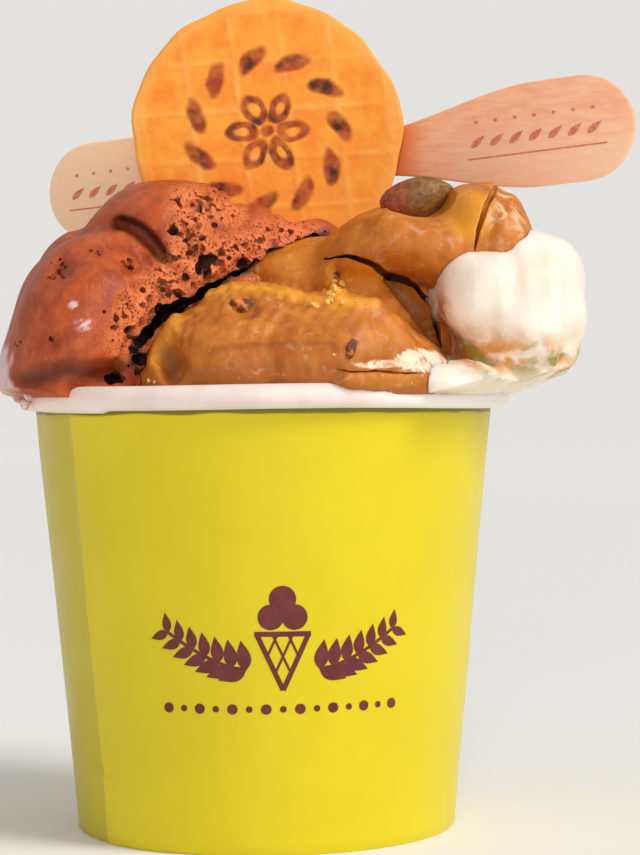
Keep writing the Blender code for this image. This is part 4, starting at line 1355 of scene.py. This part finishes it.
pistachio.data.transform(Matrix.Translation(-tub_axis))
chips = bmesh.new()
for count, (chip_x, chip_z, half_x, half_y, half_z, turn) in enumerate(NUT_CHIPS):
    place = surface_at(pistachio, chip_x, chip_z)
    add_fragment(chips, place, (half_x, half_y, half_z), turn, 0.2 * count)
crumbs = bmesh.new()
for count, (crumb_x, crumb_z, size) in enumerate(NUT_CRUMBS):
    place = surface_at(pistachio, crumb_x, crumb_z)
    if place is not None:
        add_fragment(crumbs, place, (size, size * 0.8, size * 0.7), 31.0 * count, float(count))
pistachio.data.transform(Matrix.Translation(tub_axis))

chip_finish = Finish("roast_nut", 0.5)
chip_tone, chip_mask = chip_finish.patches(1.4, (104, 48, 16), (218, 122, 44), low=0.42, high=0.6, detail=4.0)
chip_finish.colour(chip_tone)
chip_finish.relief((chip_mask, 0.12))
crumb_finish = Finish("pale_nut", 0.45)
crumb_tone, crumb_mask = crumb_finish.patches(0.9, (226, 158, 52), (248, 208, 112), detail=4.0)
crumb_finish.colour(crumb_tone)
crumb_finish.relief((crumb_mask, 0.08))
crumb_finish.constant(Subsurface_Weight=0.3, Subsurface_Radius=(0.001, 0.0007, 0.0003))
nut_chips = object_from(chips, "nut_chips", chip_finish)
nut_crumbs = object_from(crumbs, "nut_crumbs", crumb_finish)
for nuts in (nut_chips, nut_crumbs):
    set_in_frame(nuts)
    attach(nuts, "root")


# The wafer: a thin round biscuit baked between two plates, with a shallow waffle grid and a toasted wreath
# stamped on its face. It stands on edge in the heap.
GRID_PITCH = 9.6
GRID_LINE = 0.9
GRID_HEIGHT = 0.12
TOAST_DEPTH = 0.16
WREATH_RADIUS = 14.2
WREATH_LEAVES = 11
LEAF_HALF_WIDTH = 1.8
LEAF_HALF_LENGTH = 4.0
PETALS = 6
PETAL_REACH = 5.0
PETAL_HALF_LENGTH = 3.0
PETAL_HALF_WIDTH = 1.9
FLOWER_EYE = 1.3


def wreath_share(x, y):
    """How toasted the face is at a point: a ring of leaves round a flower of petals."""
    reach = math.hypot(x, y)
    angle = math.atan2(y, x)
    turn_step = 2 * math.pi / WREATH_LEAVES
    local = (angle + 0.2) % turn_step - turn_step / 2
    across = (reach - WREATH_RADIUS) * 0.85 + local * WREATH_RADIUS * 0.55
    length = local * WREATH_RADIUS * 0.8 - (reach - WREATH_RADIUS) * 0.55
    leaf = 1.0 - (across / LEAF_HALF_WIDTH) ** 2 - (length / LEAF_HALF_LENGTH) ** 2
    petal_step = 2 * math.pi / PETALS
    petal_angle = (angle + 0.5) % petal_step - petal_step / 2
    petal_x = reach * math.cos(petal_angle) - PETAL_REACH
    petal_y = reach * math.sin(petal_angle)
    oval = math.hypot(petal_x / PETAL_HALF_LENGTH, petal_y / PETAL_HALF_WIDTH)
    petal = 1.0 - abs(oval - 0.8) / 0.42
    centre = 1.0 - (reach / FLOWER_EYE) ** 2
    return max(0.0, min(1.0, 2.0 * max(leaf, petal, centre)))


wafer_mesh = wafer_body()
toast = wafer_mesh.verts.layers.float.new("toast")
pale = wafer_mesh.verts.layers.float.new("pale")
for vertex in wafer_mesh.verts:
    x, y = vertex.co.x, vertex.co.y
    reach = math.hypot(x, y)
    side = 1 if vertex.co.z > 0 else -1
    blur = 0.35 * noise.noise(Vector((x / 2.2, y / 2.2, 0.0))) + 0.2 * noise.noise(Vector((x, y, 4.0)))
    shifted_x = x + 0.5 * noise.noise(Vector((x / 3.0, y / 3.0, 7.0)))
    shifted_y = y + 0.5 * noise.noise(Vector((x / 3.0, y / 3.0, 9.0)))
    toasted = wreath_share(shifted_x, shifted_y - 0.5)
    vertex[toast] = max(0.0, toasted * (0.85 + blur)) if side > 0 else 0.0
    line_x = abs((x + 0.12 * y + 40 * GRID_PITCH) % GRID_PITCH - GRID_PITCH / 2)
    line_y = abs((y - 0.05 * x + 40 * GRID_PITCH) % GRID_PITCH - GRID_PITCH / 2)
    grid = max(0.0, 1.0 - min(line_x, line_y) / GRID_LINE)
    band = ease(reach, WAFER_RADIUS - 3.4, WAFER_RADIUS - 1.2)
    patchy = 0.5 + 0.9 * noise.noise(Vector((x / 6.0, y / 6.0, 2.0)))
    vertex[pale] = max(grid * max(0.0, patchy), band * (0.35 + 0.5 * max(0.0, patchy)))
    if reach < WAFER_RADIUS - 0.9:
        uneven = 0.1 * noise.noise(Vector((x / 5.0, y / 5.0, 5.0)))
        vertex.co.z += side * (GRID_HEIGHT * grid - TOAST_DEPTH * vertex[toast] + uneven)
stand_wafer(wafer_mesh)

finish = Finish("wafer_biscuit", 0.6)
base_tone, _ = finish.patches(7.0, (246, 139, 36), (251, 164, 48), detail=4.0)
_, crust = finish.patches(2.2, low=0.35, high=0.75, detail=5.0)
_, deep_patches = finish.patches(4.0, low=0.46, high=0.66, detail=4.0)
toast_mask = finish.painted("toast")
# The layer lighter towards the bottom is painted light, against the shade of the heap around the wafer's
# foot.
finish.colour(finish.tinted(
    base_tone,
    (crust, 0.45, (253, 176, 74)),
    (finish.painted("pale"), 0.46, (253, 200, 116)),
    (finish.rise(finish.coordinate(2), 126.0, 112.0), 0.5, (255, 176, 62)),
    (toast_mask, 1.0, (168, 62, 20)),
    (finish.work("MULTIPLY", toast_mask, deep_patches), 1.0, (70, 30, 14)),
))
_, wafer_grain = finish.patches(0.5, low=0.3, high=0.7, detail=4.0)
finish.relief((crust, 0.04), (wafer_grain, 0.015))
finish.gloss(crust, 0.5, 0.68)
finish.constant(Subsurface_Weight=0.2, Subsurface_Radius=(0.003, 0.0014, 0.0004))
finish.constant(Specular_IOR_Level=0.3)
wafer = object_from(wafer_mesh, "wafer_biscuit", finish)
set_in_frame(wafer)
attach(wafer, "root")
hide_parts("wafer")


# The paddle: a flat spoon for eating with, punched from thin birch veneer, broad at both ends and narrow in
# the middle. It stands on its long edge behind the wafer, its left end farther back.
PADDLE_LENGTH = 125.0
PADDLE_END_HALF_WIDTH = 10.2
PADDLE_WAIST_HALF_WIDTH = 4.2
PADDLE_TAPER = (8.0, 44.0)
PADDLE_THICKNESS = 1.6
PADDLE_CENTRE = (13.5, 16.6, 129.2)
PADDLE_TURN = -22.0
PADDLE_RISE = 4.4
PADDLE_STATIONS = 110


def paddle_half_width(along):
    """Half the paddle's width at a distance from its middle."""
    blend = ease(abs(along), *PADDLE_TAPER)
    width = PADDLE_WAIST_HALF_WIDTH + (PADDLE_END_HALF_WIDTH - PADDLE_WAIST_HALF_WIDTH) * blend
    tip = abs(along) - (PADDLE_LENGTH / 2 - PADDLE_END_HALF_WIDTH)
    if tip > 0:
        width *= math.sqrt(max(0.0, 1 - (tip / PADDLE_END_HALF_WIDTH) ** 2))
    return width


def stand_paddle(body):
    """Turns what is drawn on the paddle's own length and width to its place in the heap."""
    turn = Euler((0, math.radians(-PADDLE_RISE), math.radians(PADDLE_TURN)), "XYZ")
    bmesh.ops.rotate(body, verts=body.verts, cent=(0, 0, 0), matrix=turn.to_matrix())
    bmesh.ops.translate(body, verts=body.verts, vec=PADDLE_CENTRE)


paddle_mesh = bmesh.new()
half_length = PADDLE_LENGTH / 2
upper = []
for station in range(1, PADDLE_STATIONS):
    along = -half_length * math.cos(math.pi * station / PADDLE_STATIONS)
    upper.append((along, paddle_half_width(along)))
lower = [(along, -width) for along, width in reversed(upper)]
outline = [(-half_length, 0.0), *upper, (half_length, 0.0), *lower]
face = paddle_mesh.faces.new([paddle_mesh.verts.new((x, 0.0, z)) for x, z in outline])
pushed = bmesh.ops.extrude_face_region(paddle_mesh, geom=[face])
moved = [part for part in pushed["geom"] if isinstance(part, bmesh.types.BMVert)]
bmesh.ops.translate(paddle_mesh, verts=moved, vec=(0, PADDLE_THICKNESS, 0))
bmesh.ops.translate(paddle_mesh, verts=paddle_mesh.verts, vec=(0, -PADDLE_THICKNESS / 2, 0))
bmesh.ops.recalc_face_normals(paddle_mesh, faces=paddle_mesh.faces)
rims = [edge for edge in paddle_mesh.edges if abs(edge.verts[0].co.y - edge.verts[1].co.y) < 1e-6]
bmesh.ops.bevel(
    paddle_mesh, geom=rims, offset=0.4, offset_type="OFFSET", segments=3, profile=0.5, affect="EDGES",
    material=-1,
)
stand_paddle(paddle_mesh)

finish = Finish("birch_wood", 0.55)
wood_place = finish.stretched((0.05, 0.6, 1.0), (0.0, PADDLE_RISE, -PADDLE_TURN))
base_tone, grain = finish.patches(1.1, (246, 172, 130), (252, 190, 148), detail=5.0, place=wood_place)
_, wide_grain = finish.patches(4.0, low=0.4, high=0.7, detail=3.0, place=wood_place)
fleck_place = finish.stretched((0.25, 0.6, 1.0))
_, flecks = finish.patches(0.5, low=0.66, high=0.78, detail=2.0, place=fleck_place)
across = finish.coordinate(0)
low = finish.rise(finish.coordinate(2), 135.0, 127.0)
low_right = finish.work("MULTIPLY", finish.rise(across, 34.0, 40.0), low)
# Painted shadow of the wafer: a darker orange on the paddle's front face behind the wafer and just right of
# it.
beside_wafer = finish.work("MULTIPLY", finish.rise(across, 33.5, 27.5), finish.rise(across, -6.0, 8.0))
turn = math.radians(PADDLE_TURN)
facing = finish.add(
    "VectorMath",
    {"operation": "DOT_PRODUCT"},
    {0: finish.add("TexCoord").outputs["Normal"], 1: (math.sin(turn), -math.cos(turn), 0.0)},
).outputs["Value"]
painted_wafer_shadow = finish.work("MULTIPLY", beside_wafer, finish.rise(facing, 0.2, 0.8))
# Painted light: the paddle's left end is painted lighter, against the shade that falls on it.
finish.colour(finish.tinted(
    base_tone,
    (wide_grain, 0.35, (254, 204, 166)),
    (flecks, 0.3, (214, 132, 92)),
    (finish.rise(across, -18.0, -30.0), 1.0, (255, 214, 176)),
    (low_right, 0.6, (255, 212, 176)),
    (painted_wafer_shadow, 0.75, (224, 118, 46)),
))
finish.relief((grain, 0.03), (flecks, 0.02))
finish.gloss(grain, 0.48, 0.6)
finish.constant(Subsurface_Weight=0.1, Subsurface_Radius=(0.002, 0.001, 0.0005), Subsurface_Scale=1.0)
paddle = object_from(paddle_mesh, "wooden_paddle", finish)
set_in_frame(paddle)
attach(paddle, "root")
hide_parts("paddle")


# The paddle's print: a plain border of leaves and dots, in the same red ink, at both broad ends.
MARK_MIDDLES = (-44.0, 43.0)
MARK_PITCH = 3.9
MARK_LINE_HALF_LENGTH = 14.0
MARK_LINE_HEIGHT = -3.4
paddle_marks = bmesh.new()
for middle in MARK_MIDDLES:
    for step in range(-3, 4):
        x = middle + MARK_PITCH * step
        add_patch(paddle_marks, 0.75, (x - 1.5, -1.2), (x + 1.5, 1.0), leaf_outline, rows=6, columns=2)
        add_patch(paddle_marks, 0.4, (x, 3.3), (x, 4.1), disc_outline, rows=4, columns=2)
    start, end = ((middle + side * MARK_LINE_HALF_LENGTH, MARK_LINE_HEIGHT) for side in (-1, 1))
    add_patch(paddle_marks, 0.16, start, end, bar_outline, rows=2, columns=1)
bmesh.ops.remove_doubles(paddle_marks, verts=paddle_marks.verts, dist=1e-4)
for vertex in paddle_marks.verts:
    vertex.co = (vertex.co.x, -PADDLE_THICKNESS / 2 - 0.03, vertex.co.y)
bmesh.ops.recalc_face_normals(paddle_marks, faces=paddle_marks.faces)
for face in paddle_marks.faces:
    if face.normal.y > 0:
        face.normal_flip()
stand_paddle(paddle_marks)
wood_ink = Finish("wood_ink", 0.6)
ink_tone, _ = wood_ink.patches(0.7, (204, 108, 84), (226, 138, 108), detail=4.0)
wood_ink.colour(ink_tone)
paddle_print = object_from(paddle_marks, "paddle_print", wood_ink)
set_in_frame(paddle_print)
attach(paddle_print, "root")


# The shelled pistachio on the right scoop: blunt and red-skinned at its left end, drawn out to a point at its
# right, wrinkled where it has dried.
KERNEL_LENGTH = 13.9
KERNEL_WIDTH = 10.2
KERNEL_CENTRE = (29.0, -13.0, 119.4)
kernel_mesh = bmesh.new()
bmesh.ops.create_uvsphere(kernel_mesh, u_segments=96, v_segments=72, radius=1.0)
turn_body(kernel_mesh, 90, "Y")
skin = kernel_mesh.verts.layers.float.new("skin")
furrow = kernel_mesh.verts.layers.float.new("furrow")
for vertex in kernel_mesh.verts:
    x, y, z = vertex.co
    narrowing = 1.0 - 0.42 * max(0.0, x) ** 2
    flat_top = 0.70 if z > 0 else 1.0
    place = Vector((x * KERNEL_LENGTH / 2, y * KERNEL_WIDTH * 0.42 * narrowing, 0.0))
    place.z = (z * flat_top * narrowing + 0.24 * x) * KERNEL_WIDTH / 2
    wrinkle = abs(noise.noise(Vector((x * 2.2, y * 5.0, z * 5.0 + 0.6 * x))))
    fine = noise.noise(Vector((x * 7.0, y * 9.0, z * 9.0)))
    vertex[furrow] = max(0.0, 1.0 - wrinkle * 8.0)
    vertex[skin] = ease(-x + 0.35 * noise.noise(Vector((x, y, z)) * 3.0), 0.05, 0.5)
    vertex.co = place * (1.0 - 0.035 * vertex[furrow] + 0.015 * fine)
bmesh.ops.translate(kernel_mesh, verts=kernel_mesh.verts, vec=KERNEL_CENTRE)
bmesh.ops.recalc_face_normals(kernel_mesh, faces=kernel_mesh.faces)

finish = Finish("pistachio_kernel", 0.5)
green_tone, _ = finish.patches(2.0, (122, 80, 34), (148, 102, 46), detail=4.0)
red_tone, red_mask = finish.patches(1.6, (138, 62, 36), (170, 84, 50), detail=4.0)
_, dust = finish.patches(0.5, low=0.66, high=0.74, detail=2.0)
# The furrows are pressed in and also painted darker, painted shade in the creases.
finish.colour(finish.tinted(
    finish.mix(finish.painted("skin"), green_tone, red_tone),
    (finish.painted("furrow"), 0.35, (70, 36, 20)),
    (dust, 0.5, (206, 150, 84)),
))
finish.relief((red_mask, 0.08), (dust, 0.05))
kernel = object_from(kernel_mesh, "shelled_pistachio", finish)
set_in_frame(kernel)
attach(kernel, "root")
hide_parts("pistachio_kernel")


# The floor and the light: a plain pale surface that runs into a pale background, broad daylight from the
# right and front, and a small soft light above the camera.
FLOOR_RADIUS = 12.0
SUN_AZIMUTH = 60.0
SUN_ELEVATION = 40.0
SUN_STRENGTH = 2.1
SUN_ANGLE = 24.0
SKY_STRENGTH = 0.5
BACKGROUND = (228, 226, 223)
floor_body = bmesh.new()
bmesh.ops.create_circle(floor_body, cap_ends=True, segments=96, radius=FLOOR_RADIUS / MM)
pale_floor = Finish("pale_floor", 0.8)
floor_tone, _ = pale_floor.patches(2500.0, (238, 238, 238), (240, 240, 240), detail=0.0)
pale_floor.colour(floor_tone)
floor = object_from(floor_body, "floor", pale_floor)

sun_data = bpy.data.lights.new("daylight", "SUN")
sun_data.energy = SUN_STRENGTH
sun_data.angle = math.radians(SUN_ANGLE)
sun_data.color = (1.0, 0.98, 0.95)
sun = bpy.data.objects.new("daylight", sun_data)
azimuth, elevation = math.radians(SUN_AZIMUTH), math.radians(SUN_ELEVATION)
towards_sun = Vector((
    math.sin(azimuth) * math.cos(elevation), -math.cos(azimuth) * math.cos(elevation), math.sin(elevation)
))
sun.rotation_euler = towards_sun.to_track_quat("Z", "Y").to_euler()
bpy.context.scene.collection.objects.link(sun)

FRONT_LIGHT_PLACE = Vector((-40.0, -620.0, 260.0))
FRONT_LIGHT_AIM = Vector((0.0, 0.0, 95.0))
FRONT_LIGHT_WIDTH = 80.0
FRONT_LIGHT_POWER = 0.6
light_data = bpy.data.lights.new("front", "AREA")
light_data.shape = "DISK"
light_data.size = FRONT_LIGHT_WIDTH * MM
light_data.energy = FRONT_LIGHT_POWER
light = bpy.data.objects.new("front", light_data)
light.location = tub_axis + FRONT_LIGHT_PLACE * MM
light.rotation_euler = (FRONT_LIGHT_PLACE - FRONT_LIGHT_AIM).to_track_quat("Z", "Y").to_euler()
bpy.context.scene.collection.objects.link(light)

world = bpy.data.worlds.new("studio")
world.use_nodes = True
studio = world.node_tree
lit = studio.nodes["Background"]
lit.inputs["Color"].default_value = (1.0, 0.98, 0.95, 1.0)
lit.inputs["Strength"].default_value = SKY_STRENGTH
seen = add_node(studio, "Background", None, {"Color": paint(*BACKGROUND)})
rays = add_node(studio, "LightPath")
shaders = {0: rays.outputs["Is Camera Ray"], 1: lit.outputs[0], 2: seen.outputs[0]}
either = add_node(studio, "MixShader", None, shaders)
studio.links.new(either.outputs[0], studio.nodes["World Output"].inputs["Surface"])
bpy.context.scene.world = world
bpy.context.scene.view_settings.view_transform = "Standard"
